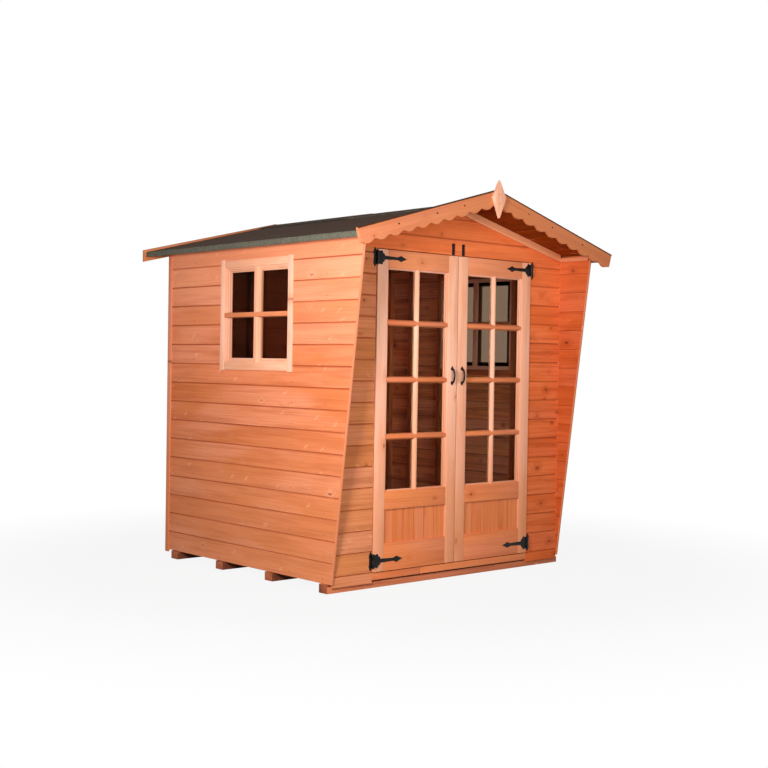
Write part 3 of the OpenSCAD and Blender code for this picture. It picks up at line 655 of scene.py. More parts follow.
kept = {  # parts of the frame that keep their own shape
    "left_studs": framingZ, "right_studs": framingZ, "rear_studs": framingZ, "front_studs": framingZ,
    "left_rails": framingY, "right_rails": framingY, "rear_rails": framingX, "front_rails": framingX,
    "ridge_beam": framingY, "rafters": framingX, "eave_battens": trimY, "door_stops": trimZ,
    "left_door_glass": glazing, "right_door_glass": glazing,
}
for name, material in kept.items():
    for holder in nodes[name].material_slots:
        holder.material = material


bearers = {"count": 4, "width": 70, "rebateDeep": 16, "rebateHigh": 13, "cornerShadeAndEnds": 0.75, "endStain": 0.3,
           "underShade": 0.8}
bearerLow, bearerHigh = corners("floor_bearers")
rng = random.Random(15)
bm = newBoards()
y0, y1, top = bearerLow[1], bearerLow[1] + bearers["width"], bearerHigh[2]
step, deep = top - bearers["rebateHigh"], y0 + bearers["rebateDeep"]
outline = [(y0, 0), (y0, step), (deep, step), (deep, top), (y1, top), (y1, 0)]  # the front one is cut back at its top
addSolid(bm, [[metres(x, y, z) for y, z in outline] for x in (bearerLow[0], bearerHigh[0])], rng, grainAxes["X"],
         rounding=1.5 * mm)
for i in range(1, bearers["count"]):
    y = y0 + (bearerHigh[1] - bearers["width"] - y0) * i / (bearers["count"] - 1)
    plank(bm, (bearerLow[0], y, 0), (bearerHigh[0], y + bearers["width"], top), "X", rng, 2)
stainAndShade = bm.verts.layers.float["stainAndShade"]
for vert in bm.verts:  # painted shade: the timber is darkened underneath the house and in the front one's cut-back corner, and the front one's ends are darkened as well
    inCorner = (y0 + 3) * mm < vert.co.y < (deep + 2) * mm and vert.co.z > (step - 0.2) * mm
    atEnd = abs(vert.co.x) > (bearerHigh[0] - 0.1) * mm
    if vert.co.y < (y1 + 1) * mm:
        vert[stainAndShade] = bearers["cornerShadeAndEnds"] if inCorner or atEnd else 0.0
    else:
        vert[stainAndShade] = bearers["endStain"] if atEnd else bearers["underShade"]
dress("floorBearers", bm, bearerPine, "framing", "floor_bearers")


trims = {"stepJoint": -262, "stepGap": 1.2, "stepFoot": 45, "edgeWide": 12, "gableDeep": 41, "railGap": 10,
         "slotThick": 2, "slotPast": 5}
rng = random.Random(5)
bm = newBoards()
sillLow, sillHigh = corners("threshold")
joint, half = trims["stepJoint"], trims["stepGap"] / 2
plank(bm, (sillLow[0], frontFace + boardThick, sillLow[2]), sillHigh, "X", rng)
for x0, x1 in ((doorway[0] + 0.2, joint - half), (joint + half, -doorway[0] - 0.2)):
    plank(bm, (x0, frontFace, trims["stepFoot"]), (x1, frontFace + boardThick, sillHigh[2]), "X", rng)
dress("doorStep", bm, railPine, "boards", "threshold")

bm = newBoards()
trimThick = wingTop - corners("wing_trims")[0][1]
for sign in (-1, 1):
    flatBoard(bm, [(frontFace - trimThick, wallFoot), (frontFace, wallFoot), (wingTop, wallTop),
                   (wingTop - trimThick, wallTop)], sign * (halfWidth - trims["edgeWide"]), sign * halfWidth,
              (wingTop - frontFace, wallTop - wallFoot), rng, "YZ", 1.2)
dress("wingEdgeStrips", bm, edgePine, "joinery", "wing_trims")

bm = newBoards()
railFoot = corners("wing_rails")[0][2]
railTop = wallTop - trims["railGap"]
for sign in (-1, 1):  # a thin dark board under the soffit, painted shadow for the slot there
    flatBoard(bm, [(frontFace, railTop), (frontFace, wallTop), (wingTop, wallTop),
                   (wingTop + trims["slotPast"], railTop)],
              sign * (innerWidth - trims["slotThick"]), sign * innerWidth, (1, 0), rng, "YZ", 0.3)
# painted shadow: the slot board is darkened all over and takes the dark roof pine
stainAndShade = bm.verts.layers.float["stainAndShade"]
for vert in bm.verts:
    vert[stainAndShade] = 1.0
for face in bm.faces:
    face.material_index = 1
gableLow, gableHigh = corners("gable_trim")
for sign in (-1, 1):
    foot = frontFace + (railFoot - wallFoot) * (wingTop - frontFace) / (wallTop - wallFoot)
    flatBoard(bm, [(foot, railFoot), (frontFace, railFoot), (frontFace, railTop), (wingTop, railTop)],
              sign * gableHigh[0], sign * innerWidth, (1, 0), rng, "YZ", 1.5)
rails = dress("wingTopRails", bm, railPine, "joinery", "wing_rails")
# the dark roof pine paints the shadow in the slot
rails.data.materials.append(roofPine)

bm = newBoards()
stripLow, stripHigh = corners("rear_corner_strips")
for sign in (-1, 1):
    x0, x1 = sorted((sign * halfWidth, sign * stripHigh[0]))
    plank(bm, (x0, stripLow[1], stripLow[2]), (x1, stripHigh[1], stripHigh[2]), "Z", rng)
dress("rearCornerStrips", bm, edgePine, "joinery", "rear_corner_strips")


def slopingBoards(bm, reach, topAt, deep, near, far):
    # two boards that meet at the ridge and run down to both sides
    for sign in (-1, 1):
        ends = [(sign * x, topAt(x)) for x in (mitre, reach)]
        flatBoard(bm, ends + [(x, z - deep) for x, z in reversed(ends)], near, far, (down[0], -sign * down[1]), rng)


bm = newBoards()
slopingBoards(bm, gableHigh[0], soffit, trims["gableDeep"] * lean, gableLow[1], gableHigh[1])
dress("gableTrim", bm, gablePine, "joinery", "gable_trim")
print("trim made")


def barSolid(bm, place, depths, span, halves, along, rng, plane, pointed=0.0, shoulder=0.3):
    # a glazing bar: wide against the glass, moulded to a narrower face, its ends square or pointed
    (back, front), (wide, nose) = depths, halves
    knee = back + (front - back) * shoulder
    half = [(wide, back), (wide, knee), ((wide + nose) * 0.5, knee + (front - knee) * 0.6), (nose, front)]
    rings = []
    for end, out in zip(span, (-1, 1)):
        ring = []
        for across, depth in [(-w, d) for w, d in half] + half[::-1]:
            tip = end + out * pointed * (1 - abs(across) / wide)
            u, z = (place + across, tip) if along == "Z" else (tip, place + across)
            ring.append(metres(u, depth, z) if plane == "XZ" else metres(depth, u, z))
        rings.append(ring)
    level, through = [unitAxes[axis] for axis in ("XY" if plane == "XZ" else "YX")]
    run, other = (unitAxes["Z"], level) if along == "Z" else (level, unitAxes["Z"])
    addSolid(bm, rings, rng, [run, other, through], rings[0][0], 0.8 * mm)


def shadeAgainstGlass(bm, axis, glassFace):
    # painted shade: the mouldings are darkened where they meet the glass
    stainAndShade = bm.verts.layers.float["stainAndShade"]
    for vert in bm.verts:
        vert[stainAndShade] = float(abs(vert.co[axis] / mm - glassFace) < 2)


windowBars = {
    "bar": 46, "nose": 24, "crossBar": 31, "crossNose": 25, "shoulder": 0.45, "proud": 1.5, "recess": 0.6,
    "railShort": 5, "railBack": 1.5, "inner": 7, "gap": 0.4, "glassBack": 43, "glassThick": 4, "glassShort": 2,
    "steps": [(8, 12), (7, 22), (5, 33)], "quirk": 2,
}
panes = bmesh.new()
y0, y1, z0, z1 = windowLow[1], windowHigh[1], windowLow[2], windowHigh[2]
g0, g1, h0, h1 = glassLow[1], glassHigh[1], glassLow[2], glassHigh[2]
halves = (windowBars["bar"] / 2, windowBars["nose"] / 2)
crossHalves = (windowBars["crossBar"] / 2, windowBars["crossNose"] / 2)
for side, sign in sides:
    rng = random.Random(60 + sign)
    bm, crossBars = newBoards(), newBoards()
    flush, face = sign * halfWidth, sign * corners("right_window_frame")[1][0]
    outer = face - sign * windowBars["glassBack"]
    inner = outer - sign * windowBars["glassThick"]
    back = inner - sign * windowBars["inner"]

    def block(xa, xb, ya, yb, za, zb, along):
        xa, xb = sorted((xa, xb))
        plank(bm, (xa, ya, za), (xb, yb, zb), along, rng, 1.2)

    def blocks(xa, xb, uprights, levels):
        for ya, yb, za, zb in uprights:
            block(xa, xb, ya, yb, za, zb, "Z")
        for za, zb in levels:
            block(xa, xb, uprights[0][1], uprights[1][0], za, zb, "Y")

    blocks(flush, face, [(y0, g0, z0, z1), (g1, y1, z0, z1)], [])  # cover strips
    for za, zb in ((z0 + windowBars["railShort"], h0), (h1, z1 - windowBars["railShort"])):
        block(flush, face - sign * windowBars["railBack"], g0, g1, za, zb, "Y")
    foot, head = holeLow[1], holeHigh[1]
    blocks(back, flush, [(holeLow[0], g0, foot, head), (g1, holeHigh[0], foot, head)],
           [(foot, h0), (h1, head)])  # frame inside the boards
    reach, quirk = 0, windowBars["quirk"]
    for wide, deep in windowBars["steps"]:  # mouldings stepping in to the glass
        a0, a1, b0, b1 = g0 + reach + quirk, g1 - reach - quirk, h0 + reach, h1 - reach
        blocks(outer + sign * windowBars["gap"], face - sign * deep,
               [(a0, a0 + wide, b0, b1), (a1 - wide, a1, b0, b1)], [(b0, b0 + wide + quirk), (b1 - wide - quirk, b1)])
        reach += wide + quirk  # a dark line parts the upright mouldings
    for near, front, recess, crossRecess, shoulder in (
            (outer + sign * windowBars["gap"], face - sign * windowBars["proud"], windowBars["recess"], 0,
             windowBars["shoulder"]),
            (inner - sign * windowBars["gap"], back, 0, 0.5, 0.3)):  # outside, then inside
        barSolid(bm, (g0 + g1) / 2, (near, front - sign * recess), (h0, h1), halves, "Z", rng, "YZ", 0, shoulder)
        barSolid(crossBars, (h0 + h1) / 2, (near, front - sign * crossRecess), (g0, g1), crossHalves, "Y", rng, "YZ", 0,
                 shoulder)
    shadeAgainstGlass(bm, 0, outer)
    shadeAgainstGlass(crossBars, 0, outer)
    dress(side + "Window", bm, joineryPine, "joinery", side + "_window_frame")
    dress(side + "WindowCrossBars", crossBars, railPine, "joinery")
    short = windowBars["glassShort"]
    addShell(panes, [[metres(x, y, z) for y, z in (
        (g0 + short, h0 + short), (g0 + short, h1 - short), (g1 - short, h1 - short), (g1 - short, h0 + short))]
        for x in sorted((inner, outer))])
dress("windowPanes", panes, shadeTintedGlazing, "glass", "window_glass", smooth=0)
print("windows made")


doorValues = {
    "bar": 30, "nose": 12, "crossBar": 35, "crossNose": 16, "barFront": 2.5, "recess": 0.7, "glassGap": 0.4,
    "panes": 4, "panelBoards": 6, "vee": 3.0, "veeDepth": 2.5, "veeGap": 0.2, "steps": [(8, 8, 4), (6, 15, 4)],
    "tip": 2.0, "quirk": 1.5, "railBack": 0.3, "railGap": 0.1,
}
frameLow, frameHigh = corners("right_door_frame")
paneLow, paneHigh = corners("right_door_glass")
panelLow, panelHigh = corners("right_door_panel")
halves = (doorValues["bar"] / 2, doorValues["nose"] / 2)
crossHalves = (doorValues["crossBar"] / 2, doorValues["crossNose"] / 2)
outside = (paneLow[1] - doorValues["glassGap"], frameLow[1] + doorValues["barFront"])
behind = paneHigh[1] + doorValues["glassGap"]
paneHeight = (paneHigh[2] - paneLow[2] - (doorValues["panes"] - 1) * doorValues["bar"]) / doorValues["panes"]
boardWide = (panelHigh[0] - panelLow[0]) / doorValues["panelBoards"]
near, deep, wide = [doorValues[key] for key in ("veeGap", "veeDepth", "vee")]
far = boardWide - near
thick = panelHigh[1] - panelLow[1]
# the grooves' sides and backs carry stain and painted shade
veeSection = [(0, near + wide), (deep, near, 1), (thick, near, 1), (thick, far, 1), (deep, far, 1), (0, far - wide)]
for side, sign in sides:
    rng = random.Random(80 + sign)
    body = side + "_door"
    stiles, rails, bars, crossBars = [newBoards() for _ in range(4)]

    def leafPlank(bm, xa, xb, za, zb, along, ya=frameLow[1], yb=frameHigh[1], rounding=1.6, tone=None):
        xa, xb = sorted((sign * xa, sign * xb))
        plank(bm, (xa, ya, za), (xb, yb, zb), along, rng, rounding, tone)

    leafPlank(stiles, frameLow[0], paneLow[0], frameLow[2], frameHigh[2], "Z")
    leafPlank(stiles, paneHigh[0], frameHigh[0], frameLow[2], frameHigh[2], "Z")
    for za, zb, tone in ((frameLow[2], panelLow[2], 0.3), (panelHigh[2], paneLow[2], 0.2),
                         (paneHigh[2], frameHigh[2], 0)):
        leafPlank(rails, paneLow[0] + doorValues["railGap"], paneHigh[0] - doorValues["railGap"], za, zb, "X",
                  frameLow[1] + doorValues["railBack"], rounding=0.8, tone=tone)
    dress(side + "DoorStiles", stiles, joineryPine, "joinery", side + "_door_frame", body=body)
    dress(side + "DoorRails", rails, railPine, "joinery", body=body)

    a0, a1 = paneLow[0] + doorValues["quirk"], paneHigh[0] - doorValues["quirk"]
    b0, b1 = paneLow[2], paneHigh[2]
    for wide, deep, tall in doorValues["steps"]:  # mouldings stepping in to the glass
        for xa, xb, za, zb, along in ((a0, a0 + wide, b0, b1, "Z"), (a1 - wide, a1, b0, b1, "Z"),
                                      (a0 + wide, a1 - wide, b0, b0 + tall, "X"),
                                      (a0 + wide, a1 - wide, b1 - tall, b1, "X")):
            leafPlank(bars, xa, xb, za, zb, along, frameLow[1] + deep, outside[0], 1.2)
        wide += doorValues["quirk"]
        a0, a1, b0, b1 = a0 + wide, a1 - wide, b0 + tall, b1 - tall
    middle, span = sign * (paneLow[0] + paneHigh[0]) / 2, sorted((sign * paneLow[0], sign * paneHigh[0]))
    for depths in ((outside[0], outside[1] + doorValues["recess"]), (behind, frameHigh[1] - 1)):
        barSolid(bars, middle, depths, (paneLow[2], paneHigh[2]), halves, "Z", rng, "XZ")
    for i in range(1, doorValues["panes"]):
        z = paneLow[2] + i * (paneHeight + doorValues["bar"]) - doorValues["bar"] / 2
        barSolid(crossBars, z, outside, span, crossHalves, "X", rng, "XZ", doorValues["tip"])
        barSolid(crossBars, z, (behind, frameHigh[1] - 0.5), span, crossHalves, "X", rng, "XZ")
    shadeAgainstGlass(bars, 1, paneLow[1])
    shadeAgainstGlass(crossBars, 1, paneLow[1])
    dress(side + "DoorBars", bars, joineryPine, "joinery", body=body)
    dress(side + "DoorCrossBars", crossBars, railPine, "joinery", body=body)
    rows = boardField(side + "PanelRow", veeSection, (panelLow[2], panelHigh[2]),
                      lambda u, d, h: (span[0] + h, panelLow[1] + d, u),
                      doorValues["panelBoards"], (boardWide, 0, 0), 90 + sign, railPine)
    dress(side + "DoorPanel", rows, railPine, "joinery", side + "_door_panel", body=body, smooth=0)
print("doors made")


bargeValues = {
    "pitch": 16, "width": 92, "scallops": 10, "hollow": 15, "steps": 14, "sharp": 1.3, "spare": 40, "easing": 1.5,
    "rearEnd": 6, "rearDeep": 70, "diamondWaist": 0.46,
}
bargeLow, bargeHigh = corners("right_bargeboard")
bargeAngle = math.radians(bargeValues["pitch"])
bargeDown = (math.cos(bargeAngle), math.sin(bargeAngle))
bargeTop = bargeHigh[2] + mitre * math.tan(bargeAngle)
bargeLength = bargeHigh[0] / bargeDown[0]


def scallopTree():
    # a board whose lower edge runs in hollows
    tree, add, given = newTree("scallopedBoard", Length="Float", Width="Float", Hollow="Float", Pitch="Float",
                               Sharpness="Float", Thickness="Float", Columns="Int", Material="Material")
    sheet = add("GeometryNodeMeshGrid", {"Size X": given["Length"], "Size Y": 1.0, "Vertices X": given["Columns"],
                                         "Vertices Y": 2})[0]
    split = add("ShaderNodeSeparateXYZ", [add("GeometryNodeInputPosition")[0]])
    along = add("ShaderNodeMath", (given["Length"], 0.5, split[0]), operation="MULTIPLY_ADD")[0]
    isLower = add("ShaderNodeMath", (split[1], 0.0), operation="LESS_THAN")[0]
    height = along
    for operation, *values in (("DIVIDE", given["Pitch"]), ("MULTIPLY", 2 * math.pi), ("COSINE",),
                               ("MULTIPLY_ADD", -0.5, 0.5), ("POWER", given["Sharpness"]),
                               ("MULTIPLY", given["Hollow"]), ("SUBTRACT", given["Width"]), ("MULTIPLY", isLower)):
        height = add("ShaderNodeMath", (height, *values), operation=operation)[0]
    outline = add("ShaderNodeCombineXYZ", {0: along, 2: height})[0]
    shaped = add("GeometryNodeSetPosition", {"Geometry": sheet, "Position": outline})[0]
    depth = add("ShaderNodeCombineXYZ", {1: given["Thickness"]})[0]
    solid = add("GeometryNodeExtrudeMesh", {"Mesh": shaped, "Offset": depth, "Offset Scale": 1.0, "Individual": False},
                mode="FACES")[0]
    join = tree.nodes.new("GeometryNodeJoinGeometry")
    for part in (solid, add("GeometryNodeFlipFaces", {"Mesh": shaped})[0]):
        tree.links.new(part, join.inputs[0])
    welded = add("GeometryNodeMergeByDistance", {"Geometry": join.outputs[0], "Distance": 0.00001})[0]
    endTree(add, welded, given["Material"])
    return tree


scalloped = scallopTree()
scallopPitch = bargeLength / (bargeValues["scallops"] + 0.5)
start = math.ceil(bargeValues["spare"] / scallopPitch) * scallopPitch  # spare length, cut off at the mitre
total = bargeLength + start
for side, sign in sides:
    made = runTree(side + "Scallops", scalloped, {
        "Length": total * mm, "Width": bargeValues["width"] * mm, "Hollow": bargeValues["hollow"] * mm,
        "Pitch": scallopPitch * mm, "Sharpness": bargeValues["sharp"],
        "Thickness": (bargeHigh[1] - bargeLow[1]) * mm,
        "Columns": int(total / scallopPitch * bargeValues["steps"]) + 1, "Material": bargePine})
    bm = bmesh.new()
    bm.from_mesh(made)
    grain, toneLayer = bm.verts.layers.float_vector.new("grain"), bm.verts.layers.float.new("tone")
    for vert in bm.verts:
        vert[grain] = (vert.co.x + 3.1 + sign, vert.co.z + 0.03, vert.co.y + 0.05)
        vert[toneLayer] = 0.3 + 0.2 * sign
        s, t = vert.co.x / mm - start, vert.co.z / mm
        x, z = s * bargeDown[0] + t * bargeDown[1], bargeTop - s * bargeDown[1] + t * bargeDown[0]
        vert.co = metres(sign * x, bargeLow[1] + vert.co.y / mm, z)
    bmesh.ops.bisect_plane(bm, geom=bm.verts[:] + bm.edges[:] + bm.faces[:], dist=1e-7,
                           plane_co=(sign * mitre * mm, 0, 0), plane_no=(-sign, 0, 0), clear_outer=True)
    bmesh.ops.holes_fill(bm, edges=[edge for edge in bm.edges if edge.is_boundary], sides=0)
    bmesh.ops.recalc_face_normals(bm, faces=bm.faces)
    piece = dress(side + "ScallopedBoard", bm, bargePine, "joinery", side + "_bargeboard")
    edge = piece.modifiers.new("easedEdges", "BEVEL")
    edge.width, edge.segments = bargeValues["easing"] * mm, 2
    edge.limit_method, edge.angle_limit = "ANGLE", math.radians(50)

rng = random.Random(7)
bm = newBoards()
rearLow, rearHigh = corners("rear_bargeboards")
rearSlope = slope - bargeValues["rearEnd"] / rearHigh[0]
slopingBoards(bm, rearHigh[0], lambda x: rearHigh[2] - (x - mitre) * rearSlope, bargeValues["rearDeep"] * lean,
              rearLow[1], rearHigh[1])
boards = dress("rearBargeboards", bm, bargePine, "joinery", "rear_bargeboards")
boards.data.materials.append(feltEdge)  # the top faces take the brown felt
for face in boards.data.polygons:
    face.material_index = int(face.normal.z > 0.5)

bm = newBoards()
tipLow, tipHigh = corners("finial")
waist = tipHigh[2] - bargeValues["diamondWaist"] * (tipHigh[2] - tipLow[2])
flatBoard(bm, [(0, tipHigh[2]), (tipHigh[0], waist), (0, tipLow[2]), (tipLow[0], waist)], tipLow[1], tipHigh[1],
          (0, 1), rng, rounding=2)
dress("ridgeDiamond", bm, joineryPine, "joinery", "finial")
print("bargeboards made")


feltValues = {
    "columns": 72, "rows": 26, "ripple": 1.1, "thick": 3.0, "rest": 0.1, "shy": 0.4, "foldRows": 4,
    "lip": 6.0, "lipSkin": 1.4, "lipOut": 1.0,
    "ridgeReach": 150, "ridgeStops": (12, 50, 100), "ridgeColumns": 36, "ridgeThick": 2.2, "ridgeRipple": 0.8,
    "lapY": 70, "lapHalf": 35, "lapRise": 2.4,
}
feltThick = feltValues["thick"]
nx, nz = down[1], down[0]  # the right slope's normal


def rippleAt(y, s, seed):
    # slow waves along the sheet, stronger near the eave
    return (math.sin(y / 143 + seed) * 0.5 + math.sin(y / 61 + s / 210 + 2 * seed) * 0.3
            + math.sin(y / 29 + s / 90 + 3 * seed) * 0.2)


def feltSheet(bm, path, y0, y1, columns, thick, ripple, seed):
    # path: (x, z, normal x, normal z, share of the ripple), the sheet's under side in millimetres
    rings = []
    for i in range(columns + 1):
        y = y0 + (y1 - y0) * i / columns
        ring = []
        for j, (x, z, outX, outZ, share) in enumerate(path):
            rise = thick + ripple * share * (0.5 + 0.5 * rippleAt(y, j * 30, seed))
            ring.append((x + outX * rise, y, z + outZ * rise))
        ring += [(x, y, z) for x, z, *rest in reversed(path)]
        rings.append([metres(*place) for place in ring])
    addShell(bm, rings[::-1])


base = roofThick + feltValues["rest"]
edgeTop = soffit(eaveX) + base * lean
fold = edgeTop - 3 - corners("right_felt")[0][2] - 1
for side, sign in sides:
    path = []
    for j in range(feltValues["rows"] + 1):
        share = j / feltValues["rows"]
        x = mitre + (eaveX - 3 - mitre) * share
        path.append((sign * (x + base * nx), soffit(x) + base * nz, sign * nx, nz, 0.25 + 0.75 * share))
    path.append((sign * eaveX, edgeTop - 1.5, sign * 0.8, 0.6, 1))
    for j in range(feltValues["foldRows"]):
        path.append((sign * eaveX, edgeTop - 3 - fold * j / (feltValues["foldRows"] - 1), sign * 1.0, 0, 0.6))
    bm = bmesh.new()
    feltSheet(bm, path, roofFront, roofRear, feltValues["columns"], feltThick - feltValues["shy"],
              feltValues["ripple"], sign)
    dress(side + "FeltSheet", bm, feltGrit, "felt", side + "_felt", smooth=40)

bm = bmesh.new()  # a narrow strip of felt is dressed over the top edge of each scalloped board
near = bargeLow[1] - feltValues["lipOut"]
for sign in (-1, 1):
    for far, drop in ((bargeHigh[1], 0), (bargeLow[1] - 0.1, feltValues["lip"])):
        rings = []
        for along in (0.6, bargeLength * bargeDown[0]):
            line = bargeTop - along * math.tan(bargeAngle)
            low, high = line - drop, line + feltValues["lipSkin"]
            rings.append([metres(sign * along, y, z) for y, z in ((near, high), (far, high), (far, low), (near, low))])
        addShell(bm, rings)
dress("bargeFelt", bm, feltEdge, "felt", smooth=0)

base = roofThick + feltThick + 0.6
stops = (*feltValues["ridgeStops"], feltValues["ridgeReach"])
path = [(x * down[0], soffit(abs(x) * down[0]) + base * lean, 0, 1, 0.6)
        for x in [-x for x in reversed(stops)] + [0, *stops]]
risen = [(x, z + feltValues["lapRise"], *rest) for x, z, *rest in path]
bm = bmesh.new()
for line, y0, y1, seed in ((path, roofFront, feltValues["lapY"] + feltValues["lapHalf"], 4),
                           (risen, feltValues["lapY"] - feltValues["lapHalf"], roofRear, 5)):
    feltSheet(bm, line, y0, y1, feltValues["ridgeColumns"], feltValues["ridgeThick"], feltValues["ridgeRipple"], seed)
dress("ridgeFelt", bm, feltGrit, "felt", "ridge_felt", smooth=40)
print("felt laid")


def lobes(place, circles, floor=0.0):
    # half width of an outline made of round lobes
    best = floor
    for centre, out, radius in circles:
        if abs(place - centre) < radius:
            best = max(best, out + math.sqrt(radius ** 2 - (place - centre) ** 2))
    return best


def symmetric(spine):
    # an outline from places along its middle: x, z, half its width across and half upward
    return ([(x + across, z + up) for x, z, across, up in spine]
            + [(x - across, z - up) for x, z, across, up in reversed(spine)])


def ironPlate(bm, outline, near, far, rounding=0.8):
    # outline: (x, z) in millimetres; its front edge is eased
    made, faces = addShell(bm, [[metres(x, y, z) for x, z in outline] for y in (near, far)])
    bmesh.ops.bevel(bm, geom=list(faces[0].edges), offset=rounding * mm, segments=2, profile=0.5, affect="EDGES",
                    clamp_overlap=True)


def ironBlock(bm, xa, xb, z0, z1, near, far):
    x0, x1 = sorted((xa, xb))
    ironPlate(bm, [(x0, z0), (x1, z0), (x1, z1), (x0, z1)], near, far)


def barrel(bm, x, y, z0, z1, radius, count=20):
    # an upright pin or knuckle with eased ends
    rings = []
    for z, r in ((z1, radius * 0.8), (z1 - 0.8, radius), (z0 + 0.8, radius), (z0, radius * 0.8)):
        turns = [2 * math.pi * i / count for i in range(count)]
        rings.append([metres(x + r * math.cos(turn), y + r * math.sin(turn), z) for turn in turns])
    addShell(bm, rings)


strap = {
    "thick": 3.0, "length": 215, "start": 5, "steps": 110, "half": 12.5, "neck": 8, "taper": 135,
    "spearFrom": 78, "spearWide": 0.58, "spearHalf": 17, "crown": [(12, 25, 10), (26, 28, 10), (40, 15, 9)],
    "heights": (148.0, 1793.0), "pinX": 618.5, "pinY": -728.0, "knuckle": 5.5, "knuckleHalf": 15,
    "wrap": (1, 9), "wrapHalf": 14, "wrapThick": 1.2, "screws": (24, 70, 112, 174),
}
pinX, pinY = strap["pinX"], strap["pinY"]
doorFace = frameLow[1]
bedded = 0.05  # ironwork stands this far off the wood


def strapHalf(u):
    # half width of a strap at distance u from its pin
    rest = strap["length"] - u
    if rest < strap["spearFrom"]:
        t = rest / strap["spearFrom"]
        if t < strap["spearWide"]:
            return max(strap["spearHalf"] * (t / strap["spearWide"]) ** 1.15, 0.7)
        back = (t - strap["spearWide"]) / (1 - strap["spearWide"])
        return strap["spearHalf"] + (strap["neck"] - strap["spearHalf"]) * math.sin(back * math.pi / 2)
    return lobes(u, strap["crown"], strap["neck"] + (strap["half"] - strap["neck"]) * max(0, 1 - u / strap["taper"]))


front = doorFace - strap["thick"]
for side, sign in sides:
    bm = bmesh.new()
    screws = []
    for z in strap["heights"]:
        places = [strap["start"] + (strap["length"] - strap["start"]) * i / strap["steps"]
                  for i in range(strap["steps"] + 1)]
        ironPlate(bm, symmetric([(sign * (pinX - u), z, 0, strapHalf(u)) for u in places]), front, doorFace - bedded)
        near, far = [sign * (pinX - u) for u in strap["wrap"]]
        ironPlate(bm, [(near, z + strap["wrapHalf"]), (far, z + strap["wrapHalf"]), (far, z - strap["wrapHalf"]),
                       (near, z - strap["wrapHalf"])], front - strap["wrapThick"], doorFace - bedded)
        barrel(bm, sign * pinX, pinY, z - strap["knuckleHalf"], z + strap["knuckleHalf"], strap["knuckle"])
        screws += [((sign * (pinX - u), front - 0.3, z), (0, -1, 0)) for u in strap["screws"]]
    dress(side + "Straps", bm, iron, "ironmongery", side + "_door_straps", body=side + "_door", smooth=40)
    nailsAt(side + "StrapScrews", screws, "ironmongery", 3.4, 1.4, iron, side + "_door")

plate = {
    "fromPin": 6, "half": 52.5, "steps": 60, "wide": 22, "waist": 17, "lobe": (25, 0, 7.5), "taper": 20, "tip": 0.06,
    "middle": 9, "tongue": 3, "tongueHalf": 40, "knuckles": (15.5, 37), "leaf": 3, "pin": 3.0, "pinHalf": 40,
    "screwOut": 12, "screws": (-36, 0, 36),
}
plateX = pinX + plate["fromPin"]
centre = plateX + plate["middle"]
front = frontFace - strap["thick"]
bm = bmesh.new()
screws = []
for sign in (-1, 1):
    for z in strap["heights"]:
        outer, inner = [], []
        for i in range(plate["steps"] + 1):
            h = plate["half"] * (2 * i / plate["steps"] - 1)
            end = (plate["half"] - abs(h)) / plate["taper"]
            wide = plate["waist"] + lobes(abs(h), [plate["lobe"]])
            wide = min(plate["wide"], wide if end >= 1 else plate["wide"] * max(end, plate["tip"]) ** 0.8)
            outer.append((sign * (centre + wide / 2), z + h))
            edge = centre - wide / 2 if abs(h) > plate["tongueHalf"] else plateX - plate["tongue"]
            inner.append((sign * edge, z + h))
        ironPlate(bm, outer + inner[::-1], front, frontFace - bedded)
        near, far = plate["knuckles"]
        leafX = sign * (plateX + plate["leaf"])
        for z0, z1 in ((z - far, z - near), (z + near, z + far)):
            barrel(bm, sign * pinX, pinY, z0, z1, strap["knuckle"])
            ironBlock(bm, sign * (pinX + 1), leafX, z0, z1, pinY, pinY + plate["leaf"])
            ironBlock(bm, sign * plateX, leafX, z0, z1, pinY + 0.5, frontFace - 0.1)
        barrel(bm, sign * pinX, pinY, z - plate["pinHalf"], z + plate["pinHalf"], plate["pin"])
        screws += [((sign * (plateX + plate["screwOut"]), front - 0.3, z + h), (0, -1, 0)) for h in plate["screws"]]
dress("hingePlates", bm, iron, "ironmongery", "hinge_plates", smooth=40)

handle = {"half": 55, "out": 28, "bar": 6.2, "x": 40, "z": 1155.0, "steps": 22, "sides": 12, "footStart": 31,
          "footLong": 24, "footSteps": 24, "footHalf": 10.5, "footNeck": 5, "swell": 0.4}


def footHalf(t):
    # half width of the handle's leaf-shaped foot
    swell, wide, neck = handle["swell"], handle["footHalf"], handle["footNeck"]
    if t < swell:
        return neck + (wide - neck) * math.sin(t / swell * math.pi / 2)
    return max(wide * (1 - (t - swell) / (1 - swell)) ** 0.8, 0.7)


for side, sign in sides:
    bm = bmesh.new()
    x = sign * handle["x"]
    rings = []
    for i in range(handle["steps"] + 1):
        a = math.pi * i / handle["steps"]
        reach = (handle["out"] - handle["bar"]) * math.sin(a) ** 0.9
        climb = -(handle["half"] - handle["bar"] - 8) * math.cos(a)
        centre = Vector((x, doorFace - max(reach, 0.2), handle["z"] + climb))
        tangent = Vector((0, -math.cos(a) * handle["out"], math.sin(a) * handle["half"])).normalized()
        normal = tangent.cross(unitAxes["X"])
        thick = handle["bar"] * (0.6 + 0.4 * math.sin(a))
        turns = [2 * math.pi * k / handle["sides"] for k in range(handle["sides"])]
        rings.append([(centre + (unitAxes["X"] * math.cos(b) + normal * math.sin(b)) * thick) * mm for b in turns])
    addShell(bm, rings[::-1])
    for end in (-1, 1):
        shares = [i / handle["footSteps"] for i in range(handle["footSteps"] + 1)]
        ironPlate(bm, symmetric([(x, handle["z"] + end * (handle["footStart"] + handle["footLong"] * t), footHalf(t), 0)
                                 for t in shares]), doorFace - 3, doorFace - bedded)
    dress(side + "Handle", bm, iron, "ironmongery", side + "_door_handle", body=side + "_door", smooth=40)

